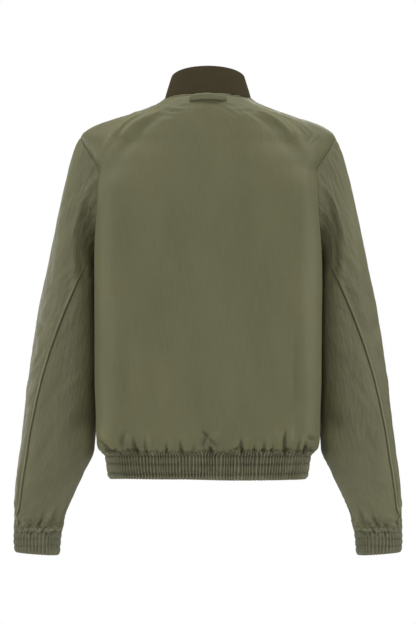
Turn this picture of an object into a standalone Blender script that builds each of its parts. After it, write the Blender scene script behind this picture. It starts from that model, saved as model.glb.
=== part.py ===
"""Bomber jacket in thin nylon, in the hollow shape that it has when it is worn.

Lengths in this file are millimetres and angles are degrees. Only the last step, which puts points into
a mesh, turns them into metres. +Z is up, the wearer faces +Y and +X is the wearer's right. The origin is
the middle of the neck opening, level with the top of the shoulders.

The body is one surface, torso(up, turn). It goes through the rings of TORSO, from the hem to the neck.
"up" is the height along the cloth above the hem seam, and "turn" goes round from the centre back (0)
over the wearer's right side (90) to the centre front (180). A sleeve is one surface too, through the
armhole and the rings of SLEEVE. Each piece of cloth is a wall between two grids of points on these
surfaces.
"""

from typing import NamedTuple

import bpy
import numpy as np

MM = 0.001  # metres in a millimetre

# ---- Driving sizes ----
CLOTH = 1.6  # thickness of a panel, with its turned seams
BAND = 2.6  # thickness of the gathered bands, with the elastic inside
KNIT = 2.6  # thickness of the collar's double knit
TAPE = 1.0  # thickness of the zip's tapes
SEAM_GAP = 0.3  # space between two pieces at a seam
COLLAR_GAP = 0.5  # the same under the collar, whose fine ribs meet the panels' longer edges

HEM_HEIGHT = 44.0  # gathered band at the hem
CUFF_HEIGHT = 44.0  # gathered band at a cuff
HEM_GATHERS = 120
CUFF_GATHERS = 28
GATHER_DEPTH = 1.1
HEM_TAB = 26.0  # flat stretch of the hem band beside the zip
COLLAR_RIBS = 62
COLLAR_HALF_SLOT = 4.6  # from the centre front to the collar's end
RIB_DEPTH = 0.7

ZIP_HALF_SLOT = 3.6  # from the centre front to a front panel's edge
ZIP_HALF_CHAIN = 3.0
ZIP_HALF_TAPE = 16.0
CHAIN_PROUD = 0.8  # height of the teeth over the front panels
TEETH_GAP = 0.4  # space between the teeth and the tapes behind them
SLIDER_LENGTH = 11.0
SLIDER_BELOW_NECK = 9.0  # from the neck seam to the middle of the slider
PLATE_LOW, PLATE_HIGH = 0.6, 2.6  # the slider's front plate, over the front panels
PLATE_HALF = 4.6
NECK_HALF = 2.8  # the slider's neck, in the slot between the front panels
NECK_SHORTER = 0.5  # how much shorter it is than the plate at each end
SUNK = 1.0  # how far the slider's neck and bridge reach into its plate
BRIDGE_HALF = 1.0
ARCH_HALF, ARCH_THICK, ARCH_HOLE = 3.3, 1.0, 2.3  # the bridge's arch, which holds the pull
PULL_THICK = 1.1  # thickness of the pull, and width of the bar at its eye
PULL_LENGTH, PULL_HALF, PULL_CORNER = 23.0, 3.3, 1.2
EYE_LENGTH, EYE_HALF, EYE_CORNER = 5.2, 2.0, 0.5
AXIS_OUT = PLATE_HIGH + ARCH_HOLE / 2  # the pull turns about a line this far over the front panels

LOOP_LENGTH = 56.0  # locker loop under the collar
LOOP_WIDTH = 8.0
LOOP_THICK = 1.2
LOOP_BOW = 2.4  # how far its middle stands off the back
LOOP_UP = 600.0

BACK_COLUMNS = 30
FRONT_COLUMNS = 13
TOP_SLEEVE_COLUMNS = 14
UNDER_SLEEVE_COLUMNS = 6
ARMHOLE_STEP = 18.0  # degrees of the armhole from one row to the next


class TorsoRing(NamedTuple):
    """One ring of the body: its heights at the back, side and front, its half sizes and its corners."""

    name: str
    up: float
    z_back: float
    z_side: float
    z_front: float
    half_width: float
    depth_back: float
    depth_front: float
    square_back: float
    square_front: float
    taper: float  # how much wider the ring is at the back than at the front


TORSO = [
    #          name          up   z_back z_side z_front width back front sq.b sq.f taper
    TorsoRing("hem_edge", -44.0, -584.0, -584.0, -584.0, 153.0, 98.0, 98.0, 3.4, 3.0, 0.05),
    TorsoRing("hem_middle", -24.0, -564.0, -564.0, -564.0, 155.5, 100.0, 100.0, 3.4, 3.0, 0.05),
    TorsoRing("hem_seam", 0.0, -540.0, -545.5, -540.0, 160.0, 101.5, 101.5, 3.4, 3.0, 0.05),
    TorsoRing("tuck", 4.5, -538.8, -544.0, -538.8, 162.0, 107.0, 106.0, 3.8, 3.0, 0.07),
    TorsoRing("overhang", 11.0, -534.0, -538.5, -534.0, 163.8, 110.5, 109.5, 4.2, 3.0, 0.09),
    TorsoRing("bulge", 24.0, -520.5, -523.0, -520.5, 165.2, 111.5, 110.5, 4.4, 3.0, 0.10),
    TorsoRing("waist", 48.0, -496.5, -496.5, -496.5, 165.2, 111.0, 110.0, 4.5, 3.0, 0.10),
    TorsoRing("loin", 110.0, -434.0, -434.0, -434.0, 166.8, 111.0, 110.5, 4.5, 3.0, 0.10),
    TorsoRing("ribs", 170.0, -374.0, -374.0, -374.0, 167.0, 110.5, 111.0, 4.5, 3.0, 0.10),
    TorsoRing("chest", 290.0, -255.0, -255.0, -258.0, 167.5, 108.0, 112.0, 4.5, 3.0, 0.10),
    TorsoRing("across", 400.0, -146.0, -146.0, -170.0, 162.5, 104.0, 107.0, 4.2, 2.8, 0.10),
    TorsoRing("blade", 438.0, -113.0, -109.0, -152.0, 164.0, 101.0, 101.5, 3.2, 2.4, 0.06),
    TorsoRing("yoke", 450.0, -103.0, -97.0, -146.0, 175.0, 100.0, 99.0, 2.4, 2.3, 0.03),
    TorsoRing("tip", 492.0, -64.0, -58.0, -126.0, 196.5, 94.5, 90.0, 1.8, 1.7, 0.02),
    TorsoRing("shoulder", 508.0, -49.0, -42.8, -115.0, 178.5, 91.0, 84.5, 1.85, 1.8, 0.01),
    TorsoRing("trapeze", 556.0, -22.0, -27.0, -90.0, 131.0, 82.0, 72.0, 2.0, 2.0, 0.0),
    TorsoRing("nape", 598.0, -2.0, -10.4, -71.5, 84.0, 71.0, 63.0, 2.0, 2.0, 0.0),
    TorsoRing("neck", 616.0, 5.4, -1.0, -65.0, 67.8, 66.0, 60.0, 2.0, 2.0, 0.0),
]
UP_NECK = 616.0
UP_TIP = 492.0
UP_UNDERARM = 304.0
ARMHOLE_TURN = 20.0  # how far the armhole reaches round to the back and to the front
ARMHOLE_SQUARE = 2.0

BODY_ROWS = [0.0, 4.5, 8.0, 12.0, 20.0, 34.0, 54.0, 90.0, 145.0, 200.0, 255.0]
SHOULDER_ROWS = [500.0, 510.0, 534.0, 562.0, 590.0]


class SleeveRing(NamedTuple):
    """One ring of a sleeve, on the wearer's right: its outer and inner ends and its two seams."""

    name: str
    down: float
    z_outer: float
    z_inner: float
    x_outer: float
    x_inner: float
    y_middle: float
    half_depth: float
    elbow: float  # angle of the seam at the back
    forearm: float  # angle of the seam at the front


SLEEVE = [
    #           name        down  z_out  z_in   x_out  x_in  y_mid depth elbow forearm
    SleeveRing("upper_arm", 0.0, -262.0, -292.0, 248.2, 171.5, 5.0, 62.0, -17.0, -146.0),
    SleeveRing("bicep", 68.0, -330.0, -345.0, 262.5, 171.0, 4.0, 62.0, 6.0, -145.0),
    SleeveRing("elbow", 138.0, -400.0, -405.0, 274.0, 172.0, 5.0, 60.0, 24.0, -143.0),
    SleeveRing("forearm", 208.0, -470.0, -470.0, 283.0, 172.8, 9.0, 58.0, 36.5, -138.0),
    SleeveRing("lower", 278.0, -540.0, -540.0, 292.0, 176.0, 16.0, 54.0, 43.0, -133.0),
    SleeveRing("taper", 320.0, -580.0, -580.0, 297.5, 193.5, 21.0, 49.5, 42.5, -130.0),
    SleeveRing("wrist", 354.0, -610.0, -610.0, 300.5, 208.0, 25.0, 45.0, 42.5, -128.0),
    SleeveRing("fullness", 388.0, -642.0, -642.0, 302.0, 221.5, 29.0, 40.0, 45.0, -126.0),
    SleeveRing("cuff_seam", 409.0, -662.0, -662.0, 302.5, 226.5, 31.0, 36.5, 48.0, -125.0),
    SleeveRing("cuff_middle", 430.0, -683.0, -683.0, 303.8, 229.5, 32.0, 34.5, 48.0, -125.0),
    SleeveRing("cuff_edge", 453.0, -706.0, -706.0, 302.2, 231.5, 33.0, 32.5, 48.0, -125.0),
]
SLEEVE_SQUARE = 2.2
SLEEVE_RADIUS = 50.0  # mean radius, which turns an angle into a length of cloth
ELBOW_AT_ARMHOLE = -34.0
ELBOW_BOW = -16.0  # how far the seam at the back bows round in a sleeve's head
FOREARM_AT_ARMHOLE = -144.0
DOWN_CUFF = 409.0
HEAD_ROWS = [0.0, 0.09, 0.2, 0.35, 0.55, 0.78]
SLEEVE_ROWS = [0.0, 45.0, 92.0, 138.0, 184.0, 230.0, 274.0, 312.0, 346.0, 376.0, DOWN_CUFF]


class HeadDirection(NamedTuple):
    """How a sleeve leaves the armhole at one of its four sides."""

    lift: float  # angle from the body's own surface, 90 straight out
    sink: float  # how much it heads down as well
    pull: float  # how far it keeps that direction, in millimetres


HEAD_TOP = HeadDirection(lift=52.0, sink=0.0, pull=62.0)
HEAD_SIDE = HeadDirection(lift=72.0, sink=0.45, pull=105.0)
HEAD_BOTTOM = HeadDirection(lift=163.0, sink=0.0, pull=45.0)


class CollarLean(NamedTuple):
    """Where the collar's top edge is from its seam, at one side of the neck."""

    inward: float
    forward: float
    rise: float


COLLAR_BACK = CollarLean(inward=0.0, forward=16.0, rise=42.0)
COLLAR_SIDE = CollarLean(inward=11.0, forward=19.0, rise=33.5)
COLLAR_FRONT = CollarLean(inward=0.0, forward=3.0, rise=38.0)
COLLAR_CROWN = 0.6  # how far the collar bellies between its edges
COLLAR_ROWS = [0.0, 0.5, 1.0]


FOLD_START = 8.0  # a fold grows over this length from a band's seam


class Fold(NamedTuple):
    """A soft ridge (height over 0) or trough on the body, across its width and along its length."""

    face: int  # -1 at the back, 1 at the front
    x_low: float
    x_high: float
    up_low: float
    up_high: float
    width: float
    height: float


BODY_FOLDS = [
    #    face  x_low  x_high up_low up_high width height
    Fold(-1, -150.0, -158.0, 2.0, 60.0, 12.0, -2.4),
    Fold(-1, -126.0, -130.0, 2.0, 64.0, 13.0, -2.6),
    Fold(-1, -96.0, -100.0, 2.0, 48.0, 12.0, -2.2),
    Fold(-1, -62.0, -64.0, 2.0, 36.0, 12.0, -1.8),
    Fold(-1, -4.0, -10.0, 2.0, 62.0, 14.0, -2.6),
    Fold(-1, 50.0, 46.0, 2.0, 40.0, 12.0, -1.8),
    Fold(-1, 88.0, 92.0, 2.0, 44.0, 12.0, -2.0),
    Fold(-1, 118.0, 122.0, 2.0, 66.0, 13.0, -2.6),
    Fold(-1, 148.0, 154.0, 2.0, 56.0, 12.0, -2.2),
    Fold(1, -130.0, -134.0, 2.0, 58.0, 14.0, -2.4),
    Fold(1, -92.0, -96.0, 2.0, 66.0, 14.0, -2.6),
    Fold(1, -48.0, -52.0, 2.0, 44.0, 13.0, -2.0),
    Fold(1, 44.0, 48.0, 2.0, 52.0, 13.0, -2.2),
    Fold(1, 88.0, 94.0, 2.0, 62.0, 14.0, -2.6),
    Fold(1, 132.0, 136.0, 2.0, 50.0, 14.0, -2.2),
]


class SleeveFold(NamedTuple):
    """A soft ridge or trough on a sleeve, from one point of it to another."""

    angle_high: float
    down_high: float
    angle_low: float
    down_low: float
    width: float
    height: float


SLEEVE_FOLDS = [
    #          angle down angle down width height
    SleeveFold(60.0, 330.0, 20.0, 395.0, 10.0, -2.4),
    SleeveFold(-20.0, 348.0, -8.0, 402.0, 10.0, -2.0),
    SleeveFold(-75.0, 235.0, -10.0, 262.0, 15.0, -2.2),
    SleeveFold(120.0, 340.0, 145.0, 400.0, 11.0, -2.2),
    SleeveFold(190.0, 350.0, 200.0, 402.0, 11.0, -2.0),
    SleeveFold(205.0, 90.0, 160.0, 130.0, 15.0, -2.2),
    SleeveFold(215.0, 130.0, 165.0, 165.0, 15.0, -2.0),
]

# ---- Colours, roughness and metallic value ----
FINISHES = {
    "olive_nylon": ((0.130, 0.125, 0.075), 0.55, 0.0),
    "brown_knit": ((0.054, 0.042, 0.023), 0.85, 0.0),
    "olive_tape": ((0.100, 0.096, 0.058), 0.75, 0.0),
    "dark_brass": ((0.200, 0.160, 0.095), 0.35, 1.0),
}


# ---- Curves and surfaces ----
def smooth_through(at, values, x):
    """Value at x of a smooth curve through the points (at, values), which never overshoots them."""
    at = np.asarray(at, float)
    values = np.asarray(values, float)
    step = np.diff(at)
    slope = np.diff(values) / step
    tangent = np.zeros_like(values)
    tangent[0] = slope[0]
    tangent[-1] = slope[-1]
    before, after = slope[:-1], slope[1:]
    rises = before * after > 0
    near, far = 2 * step[1:] + step[:-1], step[1:] + 2 * step[:-1]
    tangent[1:-1][rises] = (near + far)[rises] / (near[rises] / before[rises] + far[rises] / after[rises])
    x = np.clip(x, at[0], at[-1])
    k = np.clip(np.searchsorted(at, x, side="right") - 1, 0, len(step) - 1)
    s = (x - at[k]) / step[k]
    ends = (1 + 2 * s) * (1 - s) ** 2 * values[k] + s * s * (3 - 2 * s) * values[k + 1]
    return ends + step[k] * s * (1 - s) * ((1 - s) * tangent[k] - s * tangent[k + 1])


def column_of(rings, name, along, x):
    """Value at x of one named column of a table of rings, whose places are in the column along."""
    return smooth_through([getattr(r, along) for r in rings], [getattr(r, name) for r in rings], x)


def superellipse(sine, cosine, square):
    """A round corner between two directions: 2 is a circle, and more is squarer."""
    reach = (np.abs(sine) ** square + np.abs(cosine) ** square) ** (-1.0 / square)
    return sine * reach, cosine * reach


def torso(up, turn):
    """Point of the body's outer surface."""
    up, turn = np.broadcast_arrays(np.asarray(up, float), np.radians(turn))
    sine, cosine = np.sin(turn), np.cos(turn)
    at_back = cosine > 0
    square_back = column_of(TORSO, "square_back", "up", up)
    square_front = column_of(TORSO, "square_front", "up", up)
    across, back = superellipse(sine, cosine, np.where(at_back, square_back, square_front))
    depth_back = column_of(TORSO, "depth_back", "up", up)
    depth_front = column_of(TORSO, "depth_front", "up", up)
    z_side = column_of(TORSO, "z_side", "up", up)
    z_back = column_of(TORSO, "z_back", "up", up)
    z_front = column_of(TORSO, "z_front", "up", up)
    x = column_of(TORSO, "half_width", "up", up) * across * (1 + column_of(TORSO, "taper", "up", up) * back)
    y = -back * np.where(at_back, depth_back, depth_front)
    rise = np.where(at_back, (z_back - z_side) * np.abs(back) ** 1.5, (z_front - z_side) * back**2)
    return np.stack([x, y, z_side + rise], axis=-1)


def unit(vectors):
    """The same directions with length 1."""
    return vectors / np.linalg.norm(vectors, axis=-1, keepdims=True)


def outward(surface, along, turn, step=0.05, downward=False):
    """Outward direction of a surface at its points. downward says that "along" counts down."""
    across = surface(along, turn + step) - surface(along, turn - step)
    up = surface(along + step, turn) - surface(along - step, turn)
    return unit(np.cross(across, -up if downward else up))


def body_folds(points, up):
    """How far the folds move points of the body out."""
    moved = np.zeros(points.shape[:-1])
    for fold in BODY_FOLDS:
        share = np.clip((up - fold.up_low) / (fold.up_high - fold.up_low), 0, 1)
        middle = fold.x_low + (fold.x_high - fold.x_low) * share
        spread = fold.width * (1 + 0.7 * share)
        fade = np.where(up < fold.up_low, 0.0, (1 - share) ** 1.5) * np.clip((up + 1.0) / FOLD_START, 0, 1)
        bump = np.exp(-(((points[..., 0] - middle) / spread) ** 2))
        moved += fold.height * bump * fade * (points[..., 1] * fold.face > 0)
    return moved


def armhole(angle):
    """Height and turn of the armhole's edge: angle 90 is the shoulder, 0 the back, -90 the underarm."""
    middle, half = (UP_TIP + UP_UNDERARM) / 2, (UP_TIP - UP_UNDERARM) / 2
    angle = np.radians(angle)
    high, round_back = superellipse(np.sin(angle), np.cos(angle), ARMHOLE_SQUARE)
    return middle + half * high, 90.0 - ARMHOLE_TURN * round_back


def sleeve_tube(down, angle):
    """Point of the right sleeve below its head: angle 0 is its back, 90 its outer side."""
    down, angle = np.broadcast_arrays(np.asarray(down, float), np.radians(angle))
    out, back = superellipse(np.sin(angle), np.cos(angle), SLEEVE_SQUARE)
    outer, inner = column_of(SLEEVE, "x_outer", "down", down), column_of(SLEEVE, "x_inner", "down", down)
    high, low = column_of(SLEEVE, "z_outer", "down", down), column_of(SLEEVE, "z_inner", "down", down)
    x = (outer + inner) / 2 + (outer - inner) / 2 * out
    y = column_of(SLEEVE, "y_middle", "down", down) - column_of(SLEEVE, "half_depth", "down", down) * back
    z = (high + low) / 2 + (high - low) / 2 * out
    return np.stack([x, y, z], axis=-1)


def sleeve_head(share, angle):
    """Point between the armhole (share 0) and the sleeve's first ring (share 1)."""
    share, angle = np.broadcast_arrays(np.asarray(share, float), np.asarray(angle, float))
    up, turn = armhole(angle)
    edge = torso(up, turn)
    normal = outward(torso, up, turn)
    ahead = torso(*armhole(angle + 0.5)) - torso(*armhole(angle - 0.5))
    inside = unit(np.cross(ahead, normal))  # along the body's surface, into the armhole
    sine = np.sin(np.radians(angle))
    top, bottom = np.clip(sine, 0, 1) ** 2, np.clip(-sine, 0, 1) ** 2
    side = 1 - top - bottom
    lift, sink, pull = (
        top * at_top + side * at_side + bottom * at_bottom
        for at_top, at_side, at_bottom in zip(HEAD_TOP, HEAD_SIDE, HEAD_BOTTOM)
    )
    lift = np.radians(lift)[..., None]
    leave = np.cos(lift) * inside + np.sin(lift) * normal
    start = edge + SEAM_GAP * (np.cos(lift / 2) * inside + np.sin(lift / 2) * normal)
    below = unit(ahead) * -np.sign(ahead[..., 2:3])
    leave = unit(leave + sink[..., None] * below) * pull[..., None]
    end = sleeve_tube(0.0, angle)
    reach = np.linalg.norm(end - start, axis=-1, keepdims=True)
    arrive = unit(sleeve_tube(1.0, angle) - end) * reach
    s = np.clip(share, 0, 1)[..., None]
    along = (1 + 2 * s) * (1 - s) ** 2 * start + s * s * (3 - 2 * s) * end
    return along + s * (1 - s) * ((1 - s) * leave - s * arrive)


def sleeve(down, angle):
    """Point of the right sleeve: down runs from -1, at the armhole, to 0, and then in millimetres."""
    down, angle = np.broadcast_arrays(np.asarray(down, float), np.asarray(angle, float))
    in_head = (down < 0)[..., None]
    return np.where(in_head, sleeve_head(down + 1.0, angle), sleeve_tube(np.maximum(down, 0), angle))


def sleeve_folds(down, angle):
    """How far the folds move points of a sleeve out."""
    moved = np.zeros(np.broadcast(down, angle).shape)
    for fold in SLEEVE_FOLDS:
        turned = (angle - fold.angle_high + 180.0) % 360.0 - 180.0
        across = np.radians(turned) * SLEEVE_RADIUS
        lengthwise = down - fold.down_high
        turned = np.radians(fold.angle_low - fold.angle_high)
        run = np.array([turned * SLEEVE_RADIUS, fold.down_low - fold.down_high])
        length = np.hypot(*run)
        share = (across * run[0] + lengthwise * run[1]) / length**2
        away = (across * run[1] - lengthwise * run[0]) / length
        fade = np.clip(1 - (2 * share - 1) ** 2, 0, 1)
        moved += fold.height * np.exp(-((away / fold.width) ** 2)) * fade
    return moved * np.clip((DOWN_CUFF - down) / FOLD_START, 0, 1)


# ---- Grids of points ----
def evenly(surface, along, start, end, count):
    """Turns from start to end with equal lengths of cloth between them, one row for each "along"."""
    rows = []
    for height, low, high in zip(along, start, end):
        fine = np.linspace(low, high, 40 * count + 1)
        points = surface(np.full_like(fine, height), fine)
        run = np.concatenate([[0.0], np.cumsum(np.linalg.norm(np.diff(points, axis=0), axis=1))])
        rows.append(np.interp(np.linspace(0, run[-1], count + 1), run, fine))
    return np.array(rows)


def turn_for(surface, along, turn, length):
    """The change of turn that moves a point of the surface by a length sideways."""
    speed = np.linalg.norm(surface(along, turn + 0.5) - surface(along, turn - 0.5), axis=-1)
    return length / speed


def body_rows():
    """Heights of the body's rows, and how far round the armhole or the seams are at each."""
    angles = np.arange(-90.0, 90.0 + ARMHOLE_STEP / 2, ARMHOLE_STEP)
    hole_up, hole_turn = armhole(angles)
    up = np.concatenate([BODY_ROWS, hole_up, SHOULDER_ROWS, [UP_NECK]])
    cut = np.concatenate([np.zeros(len(BODY_ROWS)), 90.0 - hole_turn, np.zeros(len(SHOULDER_ROWS) + 1)])
    return up, cut


def side_edge(up, cut, sign):
    """Turn of a panel's edge at the side: sign -1 for the back panel and 1 for a front."""
    gap = turn_for(torso, up, np.full_like(up, 90.0), SEAM_GAP / 2)
    return 90.0 + sign * np.maximum(cut, gap)


def body_wall(up, turn, thick, lift=0.0):
    """Outer and inner grids of a panel on the body, moved out by lift."""
    up = np.broadcast_to(up[:, None], turn.shape)
    points = torso(up, turn)
    normal = outward(torso, up, turn)
    moved = (body_folds(points, up) + lift)[..., None]
    return points + normal * moved, points + normal * (moved - thick)


# ---- Making objects ----
def finish(name):
    """A material of the table FINISHES."""
    if name in bpy.data.materials:
        return bpy.data.materials[name]
    colour, roughness, metallic = FINISHES[name]
    material = bpy.data.materials.new(name)
    material.use_nodes = True
    shader = material.node_tree.nodes["Principled BSDF"]
    shader.inputs["Base Color"].default_value = (*colour, 1.0)
    shader.inputs["Roughness"].default_value = roughness
    shader.inputs["Metallic"].default_value = metallic
    material.diffuse_color = (*colour, 1.0)
    return material


def add_object(name, points, faces, material, origin=(0.0, 0.0, 0.0)):
    """An object at its origin, which its points are measured from."""
    mesh = bpy.data.meshes.new(name)
    mesh.from_pydata((np.asarray(points) * MM).tolist(), [], faces)
    mesh.validate()
    mesh.materials.append(finish(material))
    mesh.shade_smooth()
    mesh.set_sharp_from_angle(angle=np.radians(50.0))
    thing = bpy.data.objects.new(name, mesh)
    thing.location = np.array(origin) * MM
    bpy.context.scene.collection.objects.link(thing)
    return thing


def triangles(a, b, c, d):
    """Two triangles for each quadrilateral of four arrays of corners."""
    a, b, c, d = (np.ravel(corner) for corner in (a, b, c, d))
    return np.concatenate([np.stack([a, b, c], axis=1), np.stack([a, c, d], axis=1)])


def add_wall(name, outer, inner, material, closed=False):
    """A wall between two grids, whose rows go up and whose columns go round with the turn.

    A straight inner side may have its lowest and highest rows alone.
    """
    rows, columns = outer.shape[:2]
    place = np.arange(rows * columns).reshape(rows, columns)
    under = rows * columns + np.arange(len(inner) * columns).reshape(len(inner), columns)
    if closed:
        place = np.concatenate([place, place[:, :1]], axis=1)
        under = np.concatenate([under, under[:, :1]], axis=1)
    faces = [
        triangles(place[:-1, :-1], place[:-1, 1:], place[1:, 1:], place[1:, :-1]),
        triangles(under[:-1, :-1], under[1:, :-1], under[1:, 1:], under[:-1, 1:]),
        triangles(place[0, :-1], under[0, :-1], under[0, 1:], place[0, 1:]),
        triangles(place[-1, :-1], place[-1, 1:], under[-1, 1:], under[-1, :-1]),
    ]
    ends = []
    if not closed and len(inner) == rows:
        faces.append(triangles(place[:-1, 0], place[1:, 0], under[1:, 0], under[:-1, 0]))
        faces.append(triangles(place[:-1, -1], under[:-1, -1], under[1:, -1], place[1:, -1]))
    elif not closed:
        ends = [[*place[:, 0], *under[::-1, 0]], [*under[:, -1], *place[::-1, -1]]]
    points = np.concatenate([outer.reshape(-1, 3), inner.reshape(-1, 3)])
    return add_object(name, points, np.concatenate(faces).tolist() + ends, material)


def mirrored(grid):
    """The same grid on the wearer's left, with its columns still going round the same way."""
    return grid[:, ::-1] * np.array([-1.0, 1.0, 1.0])


def add_pair(name, outer, inner, material, closed=False):
    """A wall on the wearer's right and its mirror image on the left."""
    add_wall(f"{name}_right", outer, inner, material, closed)
    add_wall(f"{name}_left", mirrored(outer), mirrored(inner), material, closed)


# ---- The pieces of cloth ----
def make_back():
    """The back panel, between the two side seams, armholes and shoulder seams."""
    up, cut = body_rows()
    edge = side_edge(up, cut, -1)
    turn = evenly(torso, up, -edge, edge, BACK_COLUMNS)
    add_wall("back", *body_wall(up, turn, CLOTH), "olive_nylon")


def make_fronts():
    """The two front panels, from the side to the zip."""
    up, cut = body_rows()
    per_length = turn_for(torso, up, np.full_like(up, 180.0), 1.0)
    turn = evenly(torso, up, side_edge(up, cut, 1), 180.0 - per_length * ZIP_HALF_TAPE, FRONT_COLUMNS - 1)
    turn = np.column_stack([turn, 180.0 - per_length * ZIP_HALF_SLOT])
    outer, inner = body_wall(up, turn, CLOTH)
    add_wall("front_right", outer, inner, "olive_nylon")
    left_outer, left_inner = body_wall(up, -turn[:, ::-1], CLOTH)
    add_wall("front_left", left_outer, left_inner, "olive_nylon")


def make_sleeves():
    """The top and under sleeves, split at the elbow seam and at the forearm seam."""
    down = np.concatenate([np.array(HEAD_ROWS) - 1.0, SLEEVE_ROWS])[::-1]
    head = np.clip(-down, 0, 1)
    elbow = column_of(SLEEVE, "elbow", "down", np.maximum(down, 0))
    forearm = column_of(SLEEVE, "forearm", "down", np.maximum(down, 0))
    elbow = elbow + (ELBOW_AT_ARMHOLE - elbow) * head + ELBOW_BOW * 4 * head * (1 - head)
    forearm = forearm + (FOREARM_AT_ARMHOLE - forearm) * head
    gap_elbow = turn_for(sleeve, down, elbow, SEAM_GAP / 2)
    gap_forearm = turn_for(sleeve, down, forearm, SEAM_GAP / 2)
    panels = {
        "sleeve_top": (elbow + gap_elbow, forearm + 360.0 - gap_forearm, TOP_SLEEVE_COLUMNS),
        "sleeve_under": (forearm + gap_forearm, elbow - gap_elbow, UNDER_SLEEVE_COLUMNS),
    }
    for name, (low, high, columns) in panels.items():
        share = np.linspace(0, 1, columns + 1)
        angle = low[:, None] + (high - low)[:, None] * share
        along = np.broadcast_to(down[:, None], angle.shape)
        points = sleeve(along, angle)
        normal = outward(sleeve, along, angle, step=0.02, downward=True)
        moved = sleeve_folds(along, angle)[..., None]
        add_pair(name, points + normal * moved, points + normal * (moved - CLOTH), "olive_nylon")


def gathers(phase):
    """Height of a gather: 0 at its ridge and -1 in its trough."""
    return -0.5 + 0.5 * np.cos(2 * np.pi * phase)


def make_hem_band():
    """The gathered band, open at the zip, with a flat stretch at each end."""
    up = np.array([-HEM_HEIGHT, -HEM_HEIGHT / 2, -SEAM_GAP])
    fine = np.linspace(0, 180.0, 2001)
    run = np.concatenate([[0], np.cumsum(np.linalg.norm(np.diff(torso(-20.0, fine), axis=0), axis=1))])
    gathered = np.linspace(0, run[-1] - ZIP_HALF_SLOT - HEM_TAB, HEM_GATHERS + 1)
    phase = np.linspace(0, HEM_GATHERS / 2, HEM_GATHERS + 1)
    flat = np.array([run[-1] - ZIP_HALF_SLOT - HEM_TAB / 2, run[-1] - ZIP_HALF_SLOT])
    half = np.interp(np.concatenate([gathered, flat]), run, fine)
    depth = np.concatenate([gathers(phase), [0.0, 0.0]])
    turn = np.concatenate([-half[:0:-1], half])
    depth = np.concatenate([depth[:0:-1], depth])
    points = torso(up[:, None], turn)
    level = unit(outward(torso, up[:, None], turn) * np.array([1.0, 1.0, 0.0]))
    raised = points + level * (GATHER_DEPTH * depth)[:, None]
    add_wall("hem_band", raised, (points - level * BAND)[[0, -1]], "olive_nylon")


def make_cuffs():
    """The gathered bands at the wrists."""
    down = DOWN_CUFF + np.array([CUFF_HEIGHT, CUFF_HEIGHT / 2, SEAM_GAP])
    columns = 2 * CUFF_GATHERS
    angle = evenly(sleeve, down, np.zeros(3), np.full(3, 360.0), columns)[:, :-1]
    along = np.broadcast_to(down[:, None], angle.shape)
    points = sleeve(along, angle)
    normal = outward(sleeve, along, angle, downward=True)
    depth = GATHER_DEPTH * gathers(np.arange(columns) / 2)
    inner = (points - normal * BAND)[[0, -1]]
    add_pair("cuff", points + normal * depth[:, None], inner, "olive_nylon", closed=True)


def collar(share, turn):
    """Point of the collar between its seam (share 0) and its top edge (share 1)."""
    share, turn = np.broadcast_arrays(np.asarray(share, float), np.asarray(turn, float))
    base = torso(UP_NECK, turn)
    sine, cosine = np.sin(np.radians(turn)), np.cos(np.radians(turn))
    back, front = np.clip(cosine, 0, 1) ** 1.3, np.clip(-cosine, 0, 1) ** 1.3
    side = 1 - back - front
    inward, forward, rise = (
        back * at_back + side * at_side + front * at_front
        for at_back, at_side, at_front in zip(COLLAR_BACK, COLLAR_SIDE, COLLAR_FRONT)
    )
    lean = np.stack([-inward * sine, forward, rise], axis=-1)
    round_out = np.stack([sine, -cosine, np.zeros_like(sine)], axis=-1)
    belly = (COLLAR_CROWN * 4 * share * (1 - share))[..., None]
    return base + unit(lean) * COLLAR_GAP + lean * share[..., None] + round_out * belly


def make_collar():
    """The knitted stand collar, open at the front, with its ribs raised on the outside."""
    ends = 180.0 - turn_for(torso, UP_NECK, 180.0, COLLAR_HALF_SLOT)
    share = np.array(COLLAR_ROWS)
    sides = np.full(len(share), ends)
    turn = evenly(collar, share, -sides, sides, 2 * COLLAR_RIBS)
    along = np.broadcast_to(share[:, None], turn.shape)
    points = collar(along, turn)
    across = collar(along, turn + 0.1) - collar(along, turn - 0.1)
    up = collar(np.minimum(along + 0.01, 1), turn) - collar(np.maximum(along - 0.01, 0), turn)
    normal = unit(np.cross(across, up))
    depth = RIB_DEPTH * gathers(np.arange(2 * COLLAR_RIBS + 1) / 2)
    add_wall("collar", points + normal * depth[:, None], points - normal * KNIT, "brown_knit")


def make_neck_loop():
    """The locker loop: a strap on the back panel, sewn down at both ends."""
    climb = np.linalg.norm(torso(LOOP_UP, 0.0) - torso(LOOP_UP - 1.0, 0.0))  # cloth in 1 mm of "up"
    up = LOOP_UP - np.array([LOOP_WIDTH, LOOP_WIDTH / 2, 0.0]) / climb
    half = turn_for(torso, up, np.zeros(3), LOOP_LENGTH / 2)
    share = np.linspace(-1, 1, 13)
    turn = half[:, None] * share
    bow = LOOP_BOW * (1 - share**2) ** 2
    outer, inner = body_wall(up, turn, LOOP_THICK, lift=SEAM_GAP + LOOP_THICK + bow)
    add_wall("neck_loop", outer, inner, "olive_tape")


# ---- The zip ----
def front_up(below):
    """Height "up" of the point of the centre front that is a length of cloth below the neck seam."""
    up = np.linspace(UP_NECK, -HEM_HEIGHT, 2001)
    run = np.concatenate([[0.0], np.cumsum(np.linalg.norm(np.diff(torso(up, 180.0), axis=0), axis=1))])
    return np.interp(below, run, up)


def zip_rows():
    """Heights of the zip's rows: two for the hem band, and those of the front panels."""
    return np.concatenate([[-HEM_HEIGHT, -HEM_HEIGHT / 2], body_rows()[0]])


def behind_cloth(up):
    """Where the front face of the zip's tapes is: behind the hem band, then behind the front panels."""
    return np.where(up < 1.0, -(BAND + 2 * SEAM_GAP), -(CLOTH + SEAM_GAP))


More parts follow.
